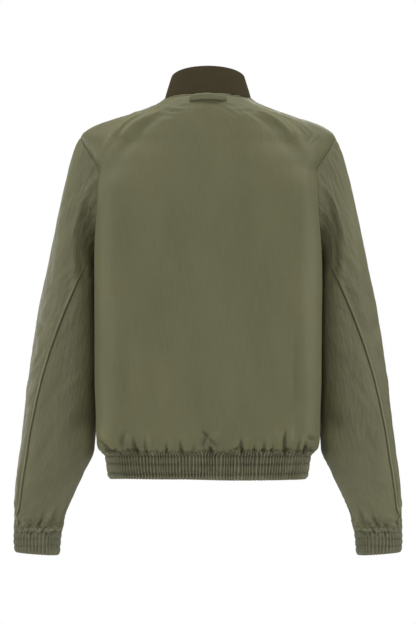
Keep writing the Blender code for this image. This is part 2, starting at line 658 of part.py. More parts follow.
def zip_strip(name, rows, across, proud, thick, material):
    """A strip along the centre front, through the places across, proud of the front panels."""
    turn = 180.0 - turn_for(torso, rows, np.full_like(rows, 180.0), 1.0)[:, None] * np.array(across)[::-1]
    thick = np.broadcast_to(thick, rows.shape)[:, None, None]
    outer, inner = body_wall(rows, turn, thick, lift=np.broadcast_to(proud, rows.shape)[:, None])
    add_wall(name, outer, inner, material)


def make_zip():
    """Tapes behind the fronts, and the closed teeth in the slot between them."""
    rows = zip_rows()
    across = [SEAM_GAP / 2, ZIP_HALF_SLOT, ZIP_HALF_TAPE]
    zip_strip("zip_tape_right", rows, across, behind_cloth(rows), TAPE, "olive_tape")
    zip_strip("zip_tape_left", rows, [-x for x in across[::-1]], behind_cloth(rows), TAPE, "olive_tape")
    top = front_up(SLIDER_BELOW_NECK + SLIDER_LENGTH / 2 + SEAM_GAP)
    rows = np.append(rows[rows < top - 1.0], top)
    thick = CHAIN_PROUD - behind_cloth(rows) - TEETH_GAP
    zip_strip("zip_teeth", rows, [-ZIP_HALF_CHAIN, 0.0, ZIP_HALF_CHAIN], CHAIN_PROUD, thick, "dark_brass")


def slider_frame():
    """Middle of the slider and its three directions: to the side, down the zip, and out."""
    up = front_up(SLIDER_BELOW_NECK)
    middle = torso(up, 180.0)
    out = outward(torso, up, 180.0)
    side = np.array([1.0, 0.0, 0.0])
    return middle, side, np.cross(out, side), out


def add_prism(name, outline, low, high, material):
    """A flat outline in the slider's (down, out) plane, drawn out sideways from low to high."""
    middle, side, down, out = slider_frame()
    flat = np.array([middle + d * down + o * out for d, o in outline])
    count = len(outline)
    points = np.concatenate([flat + side * low, flat + side * high])
    faces = [list(range(count))[::-1], list(range(count, 2 * count))]
    faces += [[k, (k + 1) % count, count + (k + 1) % count, count + k] for k in range(count)]
    return add_object(name, points, faces, material)


def join_shapes(base, extra):
    """Join one shape to another, and hide the one that was only needed for that."""
    union = base.modifiers.new("join", "BOOLEAN")
    union.operation = "UNION"
    union.solver = "EXACT"
    union.object = extra
    extra.hide_render = True
    extra.display_type = "WIRE"


def box_outline(down_low, down_high, out_low, out_high):
    """A rectangle in the slider's (down, out) plane."""
    return [(down_low, out_low), (down_high, out_low), (down_high, out_high), (down_low, out_high)]


def make_slider():
    """The slider: a neck between the front panels, a plate over them and the bridge on the plate."""
    half = SLIDER_LENGTH / 2
    sides = box_outline(-half, half, PLATE_LOW, PLATE_HIGH)
    plate = add_prism("zip_slider", sides, -PLATE_HALF, PLATE_HALF, "dark_brass")
    foot = -CLOTH - SEAM_GAP + TEETH_GAP
    sides = box_outline(NECK_SHORTER - half, half - NECK_SHORTER, foot, PLATE_LOW + SUNK)
    neck = add_prism("slider_neck", sides, -NECK_HALF, NECK_HALF, "dark_brass")
    angles = np.radians(np.linspace(0, 180, 11))
    inner = ARCH_HALF - ARCH_THICK
    flatter = np.sin(angles) ** 0.6  # an arch with steep sides and a flat top
    arch = np.stack([ARCH_HALF * np.cos(angles), PLATE_HIGH + (ARCH_HOLE + ARCH_THICK) * flatter], axis=1)
    hole = np.stack([inner * np.cos(angles), PLATE_HIGH + ARCH_HOLE * flatter], axis=1)
    foot = PLATE_HIGH - SUNK
    outline = [(ARCH_HALF, foot), *arch, (-ARCH_HALF, foot), (-inner, foot), *hole[::-1], (inner, foot)]
    bridge = add_prism("slider_bridge", outline, -BRIDGE_HALF, BRIDGE_HALF, "dark_brass")
    join_shapes(plate, neck)
    join_shapes(plate, bridge)


def rounded_outline(half, low, high, corner):
    """A rectangle with round corners, as (across, down) points that go round it."""
    middles = [(corner - half, low + corner), (half - corner, low + corner)]
    middles += [(half - corner, high - corner), (corner - half, high - corner)]
    points = []
    for start, (across, down) in zip((180.0, 270.0, 0.0, 90.0), middles):
        for angle in np.radians(start + np.array([0.0, 45.0, 90.0])):
            points.append((across + corner * np.cos(angle), down + corner * np.sin(angle)))
    return points


def make_pull():
    """The pull tab, a plate with an eye, on the slider's bridge. Its origin is on the line it turns about."""
    middle, side, down, out = slider_frame()
    rim = rounded_outline(PULL_HALF, -PULL_THICK / 2, PULL_LENGTH, PULL_CORNER)
    eye = rounded_outline(EYE_HALF, PULL_THICK / 2, EYE_LENGTH, EYE_CORNER)
    count = len(rim)
    points = []
    for height in (PULL_THICK / 2, -PULL_THICK / 2):
        points += [side * x + down * d + out * height for x, d in rim + eye]
    faces = []
    for k in range(count):
        n = (k + 1) % count
        faces.append([k, n, count + n, count + k])
        faces.append([v + 2 * count for v in (k, count + k, count + n, n)])
        faces.append([k, k + 2 * count, n + 2 * count, n])
        faces.append([count + k, count + n, count + n + 2 * count, count + k + 2 * count])
    add_object("zip_pull", points, faces, "dark_brass", origin=middle + out * AXIS_OUT)


def main():
    """Clear the scene and build the jacket, piece by piece."""
    for thing in list(bpy.data.objects):
        bpy.data.objects.remove(thing, do_unlink=True)
    make_back()
    make_fronts()
    make_sleeves()
    make_hem_band()
    make_cuffs()
    make_collar()
    make_neck_loop()
    make_zip()
    make_slider()
    make_pull()


main()
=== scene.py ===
"""Looks of an olive nylon bomber jacket, in the hollow shape that it has when it is worn.

Lengths in this file are millimetres and angles are degrees. Only the last step, which puts points into
a mesh, turns them into metres. +Z is up, the wearer faces +Y and +X is the wearer's right. The origin is
the middle of the neck opening, level with the top of the shoulders.

Each piece of cloth starts as a grid of points on a smooth form: the body goes through the rings of
TORSO_RINGS and a sleeve through those of SLEEVE_RINGS. Creases, seams, gathers and ribs then move the
points along the form's outward direction, and a second grid inside the first makes the wall.
"""

from __future__ import annotations

import logging
from dataclasses import dataclass, replace
from enum import Enum
from functools import partial
from typing import NamedTuple, Sequence

import bpy
import numpy as np
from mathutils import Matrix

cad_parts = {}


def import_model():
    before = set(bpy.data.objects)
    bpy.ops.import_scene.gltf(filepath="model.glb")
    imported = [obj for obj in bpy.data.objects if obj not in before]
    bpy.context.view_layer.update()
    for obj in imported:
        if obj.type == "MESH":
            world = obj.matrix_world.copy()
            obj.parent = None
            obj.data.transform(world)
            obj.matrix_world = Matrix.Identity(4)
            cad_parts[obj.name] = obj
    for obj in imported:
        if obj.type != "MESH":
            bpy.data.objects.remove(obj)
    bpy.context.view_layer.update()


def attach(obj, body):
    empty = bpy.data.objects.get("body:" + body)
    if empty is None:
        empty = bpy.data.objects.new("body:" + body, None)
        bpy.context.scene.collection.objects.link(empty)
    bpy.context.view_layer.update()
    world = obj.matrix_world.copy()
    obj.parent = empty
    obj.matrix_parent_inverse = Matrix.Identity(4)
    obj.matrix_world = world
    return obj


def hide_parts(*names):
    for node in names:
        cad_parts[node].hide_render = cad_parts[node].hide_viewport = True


Array = np.ndarray
MM = 0.001  # metres in a millimetre
JACKET_BODY = "jacket"
PULL_BODY = "pull_tab"
log = logging.getLogger("bomber_jacket")

SEAM_GAP = 0.12  # space between two pieces at a seam
UP_NECK = 616.0  # length of cloth up the body from the hem seam to the neck seam,
UP_TIP = 492.0  # to the top of the armhole
UP_UNDERARM = 304.0  # and to its foot
ARMHOLE_TURN = 20.0  # how far the armhole reaches round to the back and to the front
ARMHOLE_MIDDLE = (UP_TIP + UP_UNDERARM) / 2  # height of its middle
ARMHOLE_HALF = (UP_TIP - UP_UNDERARM) / 2  # half its height
DOWN_CUFF = 409.0  # length of cloth from a sleeve's first ring to the cuff's seam
HEM_HEIGHT = 44.0
CUFF_HEIGHT = 44.0
HEAD_LENGTH = 150.0  # mean length of a sleeve's head, from the armhole to its first ring
SLEEVE_RADIUS = 50.0  # mean radius of a sleeve, which turns an angle into a length of cloth
HALF_SLOT = 3.6  # from the centre front to the edge of a front, beside the zip's teeth
ZIP_TURN = 180.0  # the centre front
ALL_ROUND = 180.0  # half_turn of a band that is a closed ring
CUFF_MIDDLE = (264.0, 31.0)  # x and y of the middle of the right cuff


# ---- Curves ----
def smooth_through(at: Array, values: Array, x: Array) -> Array:
    """A smooth curve through points, which never overshoots them (a monotone cubic).

    Args:
        at: places of the points, rising.
        values: the curve's values there.
        x: where the curve is read.

    Returns:
        The curve's value at each x.
    """
    at, values = np.asarray(at, float), np.asarray(values, float)
    step = np.diff(at)
    slope = np.diff(values) / step
    tangent = np.zeros_like(values)
    tangent[0], tangent[-1] = slope[0], slope[-1]
    before, after = slope[:-1], slope[1:]
    rises = before * after > 0
    near, far = 2 * step[1:] + step[:-1], step[1:] + 2 * step[:-1]
    tangent[1:-1][rises] = (near + far)[rises] / (near[rises] / before[rises] + far[rises] / after[rises])
    x = np.clip(x, at[0], at[-1])
    k = np.clip(np.searchsorted(at, x, side="right") - 1, 0, len(step) - 1)
    s = (x - at[k]) / step[k]
    ends = (1 + 2 * s) * (1 - s) ** 2 * values[k] + s * s * (3 - 2 * s) * values[k + 1]
    return ends + step[k] * s * (1 - s) * ((1 - s) * tangent[k] - s * tangent[k + 1])


def superellipse(sine: Array, cosine: Array, square: Array | float) -> tuple[Array, Array]:
    """A round corner between two directions: square 2 is a circle, and more is squarer."""
    reach = (np.abs(sine) ** square + np.abs(cosine) ** square) ** (-1.0 / square)
    return sine * reach, cosine * reach


def unit(vectors: Array) -> Array:
    """The same directions with length 1."""
    return vectors / np.maximum(np.linalg.norm(vectors, axis=-1, keepdims=True), 1e-12)


def ease(x: Array) -> Array:
    """A smooth step from 0 at x = 0 to 1 at x = 1."""
    x = np.clip(x, 0.0, 1.0)
    return x * x * (3 - 2 * x)


def noise(u: Array, v: Array, cell_u: float, cell_v: float, seed: int) -> Array:
    """Smooth noise from -1 to 1: random values on a lattice, blended across each cell.

    Args:
        u: first coordinate.
        v: second coordinate, which may be a number.
        cell_u: size of a cell along u.
        cell_v: size of a cell along v.
        seed: which lattice.

    Returns:
        The noise at each point.
    """
    lattice = np.random.default_rng(seed).uniform(-1, 1, (61, 67))
    a, b = np.broadcast_arrays(np.asarray(u, float) / cell_u, np.asarray(v, float) / cell_v)
    i, j = np.floor(a).astype(int), np.floor(b).astype(int)
    s, t = ease(a - i), ease(b - j)

    def corner(p: int, q: int) -> Array:
        """The lattice value at a corner of each point's cell."""
        return lattice[(i + p) % lattice.shape[0], (j + q) % lattice.shape[1]]

    low = corner(0, 0) * (1 - s) + corner(1, 0) * s
    high = corner(0, 1) * (1 - s) + corner(1, 1) * s
    return low * (1 - t) + high * t


# ---- The jacket's form ----
class TorsoRing(NamedTuple):
    """One ring of the body: its heights at the back, side and front, its half sizes and its corners."""

    name: str
    up: float
    z_back: float
    z_side: float
    z_front: float
    half_width: float
    depth_back: float
    depth_front: float
    square_back: float
    square_front: float
    taper: float


TORSO_RINGS = [
    TorsoRing(*ring)
    for ring in (
        # name, up, z at back, side and front, half width, depth and squareness at back and front, taper
        ("hem_edge", -44, -584, -584, -584, 153, 98, 98, 3.4, 3, 0.05),
        ("hem_middle", -24, -564, -564, -564, 155.5, 100, 100, 3.4, 3, 0.05),
        ("hem_seam", 0, -540, -545.5, -540, 160, 101.5, 101.5, 3.4, 3, 0.05),
        ("tuck", 4.5, -538.8, -544, -538.8, 162, 107, 106, 3.8, 3, 0.07),
        ("overhang", 11, -534, -538.5, -534, 163.8, 110.5, 109.5, 4.2, 3, 0.09),
        ("bulge", 24, -520.5, -523, -520.5, 165.2, 111.5, 110.5, 4.4, 3, 0.1),
        ("waist", 48, -496.5, -496.5, -496.5, 165.2, 111, 110, 4.5, 3, 0.1),
        ("loin", 110, -434, -434, -434, 166.8, 111, 110.5, 4.5, 3, 0.1),
        ("ribs", 170, -374, -374, -374, 167, 110.5, 111, 4.5, 3, 0.1),
        ("chest", 290, -255, -255, -258, 167.5, 108, 112, 4.5, 3, 0.1),
        ("across", 400, -146, -146, -170, 162.5, 104, 107, 4.2, 2.8, 0.1),
        ("blade", 438, -113, -109, -152, 164, 101, 101.5, 3.35, 2.4, 0.06),
        ("yoke", 450, -103, -97, -146, 173, 100, 99, 2.9, 2.3, 0.03),
        ("tip", 492, -64, -58, -126, 196.5, 94.5, 90, 1.8, 1.7, 0.02),
        ("shoulder", 508, -49, -42.8, -115, 178.5, 91, 84.5, 1.85, 1.8, 0.01),
        ("trapeze", 556, -22, -27, -90, 131, 83.5, 72, 2, 2, 0),
        ("nape", 598, -2, -10.4, -71.5, 84, 73, 63, 2, 2, 0),
        ("neck", 616, 5.4, -1, -65, 67.8, 66, 60, 2, 2, 0),
    )
]


class SleeveRing(NamedTuple):
    """One ring of a sleeve, on the wearer's right: its outer and inner ends and its two seams."""

    name: str
    down: float
    z_outer: float
    z_inner: float
    x_outer: float
    x_inner: float
    y_middle: float
    half_depth: float
    elbow: float
    forearm: float


SLEEVE_RINGS = [
    SleeveRing(*ring)
    for ring in (
        # name, down, z_outer, z_inner, x_outer, x_inner, y_middle, half_depth, elbow, forearm
        ("upper_arm", 0, -262, -292, 248.2, 171.5, 5, 62, -17, -146),
        ("bicep", 68, -330, -345, 262.5, 171, 4, 62, 6, -145),
        ("elbow", 138, -400, -405, 274, 172, 5, 60, 24, -143),
        ("forearm", 208, -470, -470, 283, 172.8, 9, 58, 36.5, -138),
        ("lower", 278, -540, -540, 292, 176, 16, 54, 43, -133),
        ("taper", 320, -580, -580, 297.5, 193.5, 21, 49.5, 42.5, -130),
        ("wrist", 354, -610, -610, 300.5, 208, 25, 45, 42.5, -128),
        ("fullness", 388, -642, -642, 302, 221.5, 29, 40, 45, -126),
        ("cuff_seam", 409, -662, -662, 302.5, 226.5, 31, 36.5, 48, -125),
        ("cuff_middle", 430, -682, -684, 303.8, 229.5, 32, 34.5, 48, -125),
        ("cuff_edge", 453, -703.5, -708, 302.2, 231.5, 33, 32.5, 48, -125),
    )
]


class HeadDirection(NamedTuple):
    """How a sleeve leaves the armhole at one of its four sides."""

    lift: float  # degrees by which it rises from the body's surface
    sink: float  # how much it also points down the armhole's edge
    pull: float  # how far it holds that direction, in millimetres


HEAD_TOP = HeadDirection(lift=52.0, sink=0.0, pull=62.0)
HEAD_SIDE = HeadDirection(lift=72.0, sink=0.45, pull=105.0)
HEAD_BOTTOM = HeadDirection(lift=163.0, sink=0.0, pull=45.0)


class CollarLean(NamedTuple):
    """Where the collar's top edge is from its seam, at one side of the neck."""

    inward: float
    forward: float
    rise: float


COLLAR_BACK = CollarLean(inward=0.0, forward=16.0, rise=42.0)
COLLAR_SIDE = CollarLean(inward=11.0, forward=19.0, rise=33.5)
COLLAR_FRONT = CollarLean(inward=0.0, forward=3.0, rise=38.0)


def blend(first: Array, last: Array, *sides: tuple) -> list[Array]:
    """Values between those of the first side, the middle one and the last side, by the two weights."""
    return [first * a + (1 - first - last) * b + last * c for a, b, c in zip(*sides)]


class Form:
    """A smooth surface of two parameters: one along the cloth, and an angle round it."""

    rings: Sequence = ()
    along_name = ""
    counts_down = False

    def column(self, name: str, along: Array) -> Array:
        """One named column of the rings, read smoothly between them."""
        at = np.array([getattr(ring, self.along_name) for ring in self.rings])
        return smooth_through(at, np.array([getattr(ring, name) for ring in self.rings]), along)

    def point(self, along: Array, angle: Array) -> Array:
        """Points of the surface."""
        raise NotImplementedError

    def normal(self, along: Array, angle: Array, step: float = 0.02) -> Array:
        """Outward directions: the cross product of the steps round and up the surface."""
        across = self.point(along, angle + step) - self.point(along, angle - step)
        up = self.point(along + step, angle) - self.point(along - step, angle)
        return unit(np.cross(across, -up if self.counts_down else up))

    def angle_for(self, along: Array, angle: Array, length: float) -> Array:
        """The change of angle that moves a point sideways by a length of cloth."""
        ahead, behind = self.point(along, angle + 0.5), self.point(along, angle - 0.5)
        return length / np.linalg.norm(ahead - behind, axis=-1)


class TorsoForm(Form):
    """The body: "up" is the height of cloth over the hem seam, and "turn" is 0 at the centre back."""

    rings = TORSO_RINGS
    along_name = "up"

    def point(self, along: Array, angle: Array) -> Array:
        """A superellipse in plan through the rings, lower or higher at its front and back."""
        up, turn = np.broadcast_arrays(np.asarray(along, float), np.radians(angle))
        sine, cosine = np.sin(turn), np.cos(turn)
        at_back = cosine > 0
        square = np.where(at_back, self.column("square_back", up), self.column("square_front", up))
        across, back = superellipse(sine, cosine, square)
        depth = np.where(at_back, self.column("depth_back", up), self.column("depth_front", up))
        z_side = self.column("z_side", up)
        rise_back = (self.column("z_back", up) - z_side) * np.abs(back) ** 1.5
        rise_front = (self.column("z_front", up) - z_side) * back**2
        x = self.column("half_width", up) * across * (1 + self.column("taper", up) * back)
        return np.stack([x, -back * depth, z_side + np.where(at_back, rise_back, rise_front)], axis=-1)

    @staticmethod
    def armhole(angle: Array) -> tuple[Array, Array]:
        """Height and turn of the armhole's edge: angle 90 is the shoulder, 0 the back, -90 the underarm."""
        angle = np.radians(angle)
        high, round_back = superellipse(np.sin(angle), np.cos(angle), 2.0)
        return ARMHOLE_MIDDLE + ARMHOLE_HALF * high, 90.0 - ARMHOLE_TURN * round_back

    def armhole_cut(self, up: Array) -> Array:
        """How far round from the side the armhole's edge is at each height, in degrees."""
        height = np.clip(np.abs(up - ARMHOLE_MIDDLE) / ARMHOLE_HALF, 0, 1)
        return ARMHOLE_TURN * np.sqrt(1 - height**2)


class SleeveForm(Form):
    """The wearer's right sleeve: "down" is -1 at the armhole, 0 below its head, then millimetres."""

    rings = SLEEVE_RINGS
    along_name = "down"
    counts_down = True

    def __init__(self, torso: TorsoForm) -> None:
        """Keeps the body's form, and how the cloth leaves its armhole all round, without sudden turns."""
        self.torso = torso
        self.round = np.arange(0.0, 360.0, 2.0)
        away = (self.round[:, None] - self.round + 180.0) % 360.0 - 180.0
        weight = np.exp(-((away / 11.0) ** 2))
        self.leaving = weight @ self.leave(self.round) / weight.sum(axis=1, keepdims=True)

    def tube(self, down: Array, angle: Array) -> Array:
        """Superellipses through the rings. Angle 0 is the sleeve's back and 90 its outer side."""
        down, angle = np.broadcast_arrays(np.asarray(down, float), np.radians(angle))
        out, back = superellipse(np.sin(angle), np.cos(angle), 2.6)
        outer, inner = self.column("x_outer", down), self.column("x_inner", down)
        high, low = self.column("z_outer", down), self.column("z_inner", down)
        x = (outer + inner) / 2 + (outer - inner) / 2 * out
        y = self.column("y_middle", down) - self.column("half_depth", down) * back
        return np.stack([x, y, (high + low) / 2 + (high - low) / 2 * out], axis=-1)

    def leave(self, angle: Array) -> Array:
        """The pull with which the cloth leaves the armhole, as HEAD_TOP and so on say."""
        up, turn = self.torso.armhole(angle)
        normal = self.torso.normal(up, turn, 0.05)
        ahead = self.torso.point(*self.torso.armhole(angle + 0.5))
        ahead = ahead - self.torso.point(*self.torso.armhole(angle - 0.5))
        inside = unit(np.cross(ahead, normal))
        sine = np.sin(np.radians(angle))
        lift, sink, pull = blend(
            np.clip(sine, 0, 1) ** 2, np.clip(-sine, 0, 1) ** 2, HEAD_TOP, HEAD_SIDE, HEAD_BOTTOM
        )
        lift = np.radians(lift)[..., None]
        below = unit(ahead) * -np.sign(ahead[..., 2:3])
        leave = np.cos(lift) * inside + np.sin(lift) * normal + sink[..., None] * below
        return unit(leave) * pull[..., None]

    def head(self, share: Array, angle: Array) -> Array:
        """A cubic from the armhole (share 0) to the tube."""
        share, angle = np.broadcast_arrays(np.asarray(share, float), np.asarray(angle, float))
        leaving = [np.interp(angle, self.round, self.leaving[:, k], period=360.0) for k in range(3)]
        leave = np.stack(leaving, axis=-1)
        start = self.torso.point(*self.torso.armhole(angle)) + SEAM_GAP * unit(leave)
        end = self.tube(0.0, angle)
        arrive = unit(self.tube(1.0, angle) - end) * np.linalg.norm(end - start, axis=-1, keepdims=True)
        s = np.clip(share, 0, 1)[..., None]
        along = (1 + 2 * s) * (1 - s) ** 2 * start + s * s * (3 - 2 * s) * end
        return along + s * (1 - s) * ((1 - s) * leave - s * arrive)

    def point(self, along: Array, angle: Array) -> Array:
        """The head above down = 0 and the tube below it."""
        down, angle = np.broadcast_arrays(np.asarray(along, float), np.asarray(angle, float))
        in_head = (down < 0)[..., None]
        return np.where(in_head, self.head(down + 1.0, angle), self.tube(np.maximum(down, 0), angle))


class CollarForm(Form):
    """The stand collar: "along" is 0 at its seam and 1 at its top edge, and the angle is the body's turn."""

    def __init__(self, torso: TorsoForm) -> None:
        """Keeps the body's form, whose neck the collar stands on."""
        self.torso = torso

    def point(self, along: Array, angle: Array) -> Array:
        """The neck ring moved along a lean that changes round the neck, a little bellied between."""
        share, turn = np.broadcast_arrays(np.asarray(along, float), np.asarray(angle, float))
        sine, cosine = np.sin(np.radians(turn)), np.cos(np.radians(turn))
        back, front = np.clip(cosine, 0, 1) ** 1.3, np.clip(-cosine, 0, 1) ** 1.3
        inward, forward, rise = blend(back, front, COLLAR_BACK, COLLAR_SIDE, COLLAR_FRONT)
        lean = np.stack([-inward * sine, forward, rise], axis=-1)
        round_out = np.stack([sine, -cosine, np.zeros_like(sine)], axis=-1)
        belly = (0.6 * 4 * share * (1 - share))[..., None]
        foot = self.torso.point(UP_NECK, turn) + unit(lean) * 0.5
        return foot + lean * share[..., None] + round_out * belly


TORSO = TorsoForm()
SLEEVE = SleeveForm(TORSO)
COLLAR = CollarForm(TORSO)


# ---- Creases ----
@dataclass(frozen=True)
class Crease:
    """A ridge (height over 0) or trough of the cloth, along a bowed line from start to end."""

    start: tuple[float, float]
    end: tuple[float, float]
    width: float
    height: float
    bow: float = 0.0  # how far its middle is to one side of the straight line
    bite: float = 0.0  # above 0 one flank is steeper than the other, up to 1
    deep_end: bool = False  # deepest at its end, as where it runs into a seam

    def rise(self, across: Array, along: Array) -> Array:
        """How far the crease moves each point out.

        Args:
            across: first coordinate of each point.
            along: second coordinate of each point.

        Returns:
            height times a bell across the line, times a fade along it.
        """
        run = np.array(self.end) - np.array(self.start)
        length = np.hypot(*run)
        a, b = across - self.start[0], along - self.start[1]
        share = np.clip((a * run[0] + b * run[1]) / length**2, -0.5, 1.5)
        away = (a * run[1] - b * run[0]) / length - self.bow * 4 * share * (1 - share)
        width = self.width * np.where(away > 0, 1 + self.bite, 1 - 0.6 * self.bite)
        if self.deep_end:
            fade = ease(share / 0.6) * ease((1.3 - share) / 0.3)
            width = width * (0.5 + 0.4 * np.clip(share, 0, 1))
        else:
            fade = ease(share * 2) * ease(2 - share * 2)
        return self.height * fade * np.exp(-((away / width) ** 2))


def creased(creases: Sequence[Crease], across: Array, along: Array) -> Array:
    """The sum of all creases at each point."""
    flat = np.zeros(np.broadcast(across, along).shape)
    return sum((crease.rise(across, along) for crease in creases), flat)


def creases_of(table: Sequence[tuple], scale: float = 1.0) -> list[Crease]:
    """Creases from a table's rows, whose columns are those of Crease in their order.

    Args:
        table: start across and along, end across and along, width, height, then bow, bite and deep_end.
        scale: what the two places across are multiplied by.

    Returns:
        One crease for each row.
    """
    return [Crease((a * scale, b), (c * scale, d), *rest) for a, b, c, d, *rest in table]


DEEP = True  # the crease is deepest at its end

# Creases of the back, in (x, up). Most hang from the hem band, where the cloth is gathered in.
BACK_CREASES = creases_of((
    # hem, from the wearer's left to the right
    (-168, 46, -136, 10, 6, 4.4, 3), (-174, 27, -145, 3, 5, -8.5, 0, 0, DEEP),
    (-158, 15, -150, -2, 2.4, -4, 0, 0, DEEP), (-146, 18, -134, -2, 2.4, -4, 0, 0, DEEP),
    (-152, 22, -139, 3, 2.2, 2.6), (-121, 40.8, -126, 2, 4.1, -3.7, 5, 0.3),
    (-116.5, 32.2, -119, 6, 3.8, 2.3), (-114.9, 30.7, -108, 0, 4.6, -6.5, 0, -0.3, DEEP),
    (-104.2, 55.5, -103, 8, 7.2, 1.4), (-95, 26.7, -93, 0, 2.9, -3.4, 0, 0, DEEP),
    (-88.9, 38.2, -89.5, 2, 3.1, 2.6), (-78, 18.8, -79, 0, 2.6, -1.9, 0, 0, DEEP),
    (-62.4, 23.8, -62.5, 0, 2.3, -4.3, 0, 0, DEEP), (-56.8, 34, -58, 4, 4.1, 1.6),
    (-41.9, 26.7, -39.5, 0, 3.2, -4.7, 0, 0.3, DEEP), (-33.8, 36.5, -35, 4, 4.8, 1.6),
    (-20, 21.8, -24, 1, 3.6, -2, 0, 0, DEEP), (-13, 39, 3, 25, 1.9, -3.4, -0.8),
    (-3, 31, 19, 12, 1.9, -3.4, 1.4), (4.9, 35.8, -12, 7, 4.1, -3.4, 2.5), (8, 37, 15, 22, 6, 2.5),
    (2.5, 19.8, 5, 0, 3.4, -5.3, 0, 0, DEEP), (-4.2, 19.5, -3, 2, 3.6, 2.3), (29, 3, 50, 23, 2.8, -4, 5),
    (30, 12, 47, 28, 4.2, 2.3, 5), (48.5, 29.7, 51, 0, 3, -6.2, 0, -0.4, DEEP),
    (55.8, 36.2, 57, 5, 4.2, 1.9), (70, 19.8, 69, 0, 2.6, -3.1, 0, 0, DEEP), (75.8, 25, 77, 0, 2.4, 1.7),
    (86, 24.8, 84, 0, 2.9, -4.3, 0, 0, DEEP), (91.6, 34.2, 91, 3, 3.6, 1.6),
    (98.5, 21.8, 97, 0, 2.4, -3.6, 0, 0, DEEP), (107.2, 48.5, 106, 6, 6, 1.7),
    (118.5, 43.6, 117.5, 0, 3.1, -6.5, 2, 0.35, DEEP), (125.2, 51, 124, 6, 4.3, 2.2),
    (138.5, 26.7, 134.5, -2, 2.6, -4.3, 0, 0, DEEP), (143.1, 33.8, 140, 0, 2.6, 2.8),
    (150, 23.8, 148, 0, 3.4, -5.6, 0, 0, DEEP), (147, 26, 172, 21, 3.1, -4, -1),
    (158, 19.8, 157, 0, 3.6, -4, 0, 0, DEEP), (-122, 26, -115, 0, 10, -3.4, 0, 0, DEEP),
    (-6, 26, -2, 0, 9, -2.6, 0, 0, DEEP), (123, 24, 120, 0, 9, -2.8, 0, 0, DEEP),
    (152, 22, 147, 0, 8, -3, 0, 0, DEEP),
    # long, faint ones over the panel
    (-128, 150, -121, 44, 8, -1.4), (-112, 190, -108, 50, 9, 1.3), (-66, 160, -70, 40, 10, 1.1),
    (-24, 130, -16, 38, 9, -1.1), (34, 150, 30, 40, 11, 1.3), (72, 210, 84, 50, 10, -1.3),
    (103, 240, 110, 60, 9, 1.4), (132, 200, 128, 50, 8, -1.4), (-140, 300, -136, 120, 9, 1.1),
    (140, 330, 143, 150, 9, 1.1), (-70, 420, -44, 250, 16, -1.3), (66, 430, 52, 240, 18, -1.3),
    # shoulders: the edge of the shoulder's top runs from the neck to the armhole
    (-54, 592, -178, 432, 12.5, 5.2, -2, 0.75), (-50, 590, -172, 440, 4.5, 1.5, -2),
    (-42, 580, -160, 430, 7, -1.5, -2), (-90, 560, -128, 498, 4, 1, 2), (-86, 566, -172, 452, 3, 3, -2, 0.5),
    (-120, 524, -184, 436, 2.6, 2.8, -1, 0.4), (-72, 578, -146, 512, 2.4, 1.2, -3),
    (-146, 502, -160, 462, 3.4, 1.5, 0, 0.3), (-168, 488, -158, 452, 4, -1.6), (-120, 520, -168, 478, 5, 1),
    (104, 540, 160, 468, 3, 2, 3, 0.3), (96, 552, 186, 478, 3, 3, 2, -0.5),
    (108, 538, 186, 460, 2.4, 2.2, 1, -0.4), (74, 576, 150, 508, 2.4, 1.2, 3), (92, 536, 140, 484, 10, -2.4),
    (128, 528, 176, 478, 4, -1.3, 1), (132, 500, 164, 450, 7, -1.4),
    (54, 592, 178, 432, 12.5, 5.2, 2, -0.75), (50, 590, 172, 440, 4.5, 1.5, 2),
    (42, 580, 160, 430, 7, -1.5, 2), (154, 486, 165, 440, 3, 1.4), (-66, 596, -20, 588, 3, -2.1, 4),
    (-72, 586, -14, 574, 3.4, -2.6, 5), (-84, 572, -24, 556, 3.6, -2.2, 6), (-92, 556, -40, 540, 4, -1.2, 6),
    (66, 596, 24, 588, 3, -1.6, -4), (74, 584, 18, 572, 3.6, -2, -5), (86, 570, 30, 554, 4, -1.6, -6),
))

# Creases of a front, in (distance from the centre front, up), so that both fronts share them.
FRONT_CREASES = creases_of((
    (150, 36, 138, 2, 5, 2), (139.8, 19.2, 131, 0, 3.4, -3.8, 0, 0, DEEP),
    (121.4, 27.2, 119, 0, 3, -2.8, 2, 0, DEEP), (114, 30, 112, 3, 3.6, 1.4),
    (103.6, 32, 106, 0, 3, -3.4, 0, 0, DEEP), (90.8, 17.6, 90, 0, 2.4, -2, 0, 0, DEEP),
    (84, 38, 86, 5, 4.6, 1.3), (72.8, 36.8, 76, 0, 3.2, -3.6, -2, 0, DEEP),
    (60.2, 16, 61, 0, 2.2, -1.8, 0, 0, DEEP), (49.6, 27.2, 48, 0, 2.8, -2.8, 0, 0, DEEP),
    (43, 28, 42, 2, 3.2, 1.2), (34.4, 20.8, 36, 0, 2.2, -2, 0, 0, DEEP), (66, 210, 74, 50, 11, -1),
    (104, 260, 108, 60, 12, 1.1), (128, 330, 120, 130, 11, -1.2), (148, 410, 112, 300, 9, -2, 6),
    (152, 440, 124, 330, 8, 1.6, 6), (150, 470, 92, 400, 12, -1.8, 8), (70, 590, 150, 480, 12, 1.6),
    (60, 560, 128, 470, 10, -1.4), (24, 540, 60, 380, 14, 0.9), (14, 420, 12, 60, 7, 0.5),
))


def body_creases(points: Array, up: Array) -> Array:
    """How far the body's creases move its points out, and the hem band's points, where they run into it."""
    x, y = points[..., 0], points[..., 1]
    back = creased(BACK_CREASES, x, up) * ease((-14.0 - y) / 34.0)
    return back + creased(FRONT_CREASES, np.abs(x) + 4.0 * (x < 0), up) * ease((y - 14.0) / 34.0)


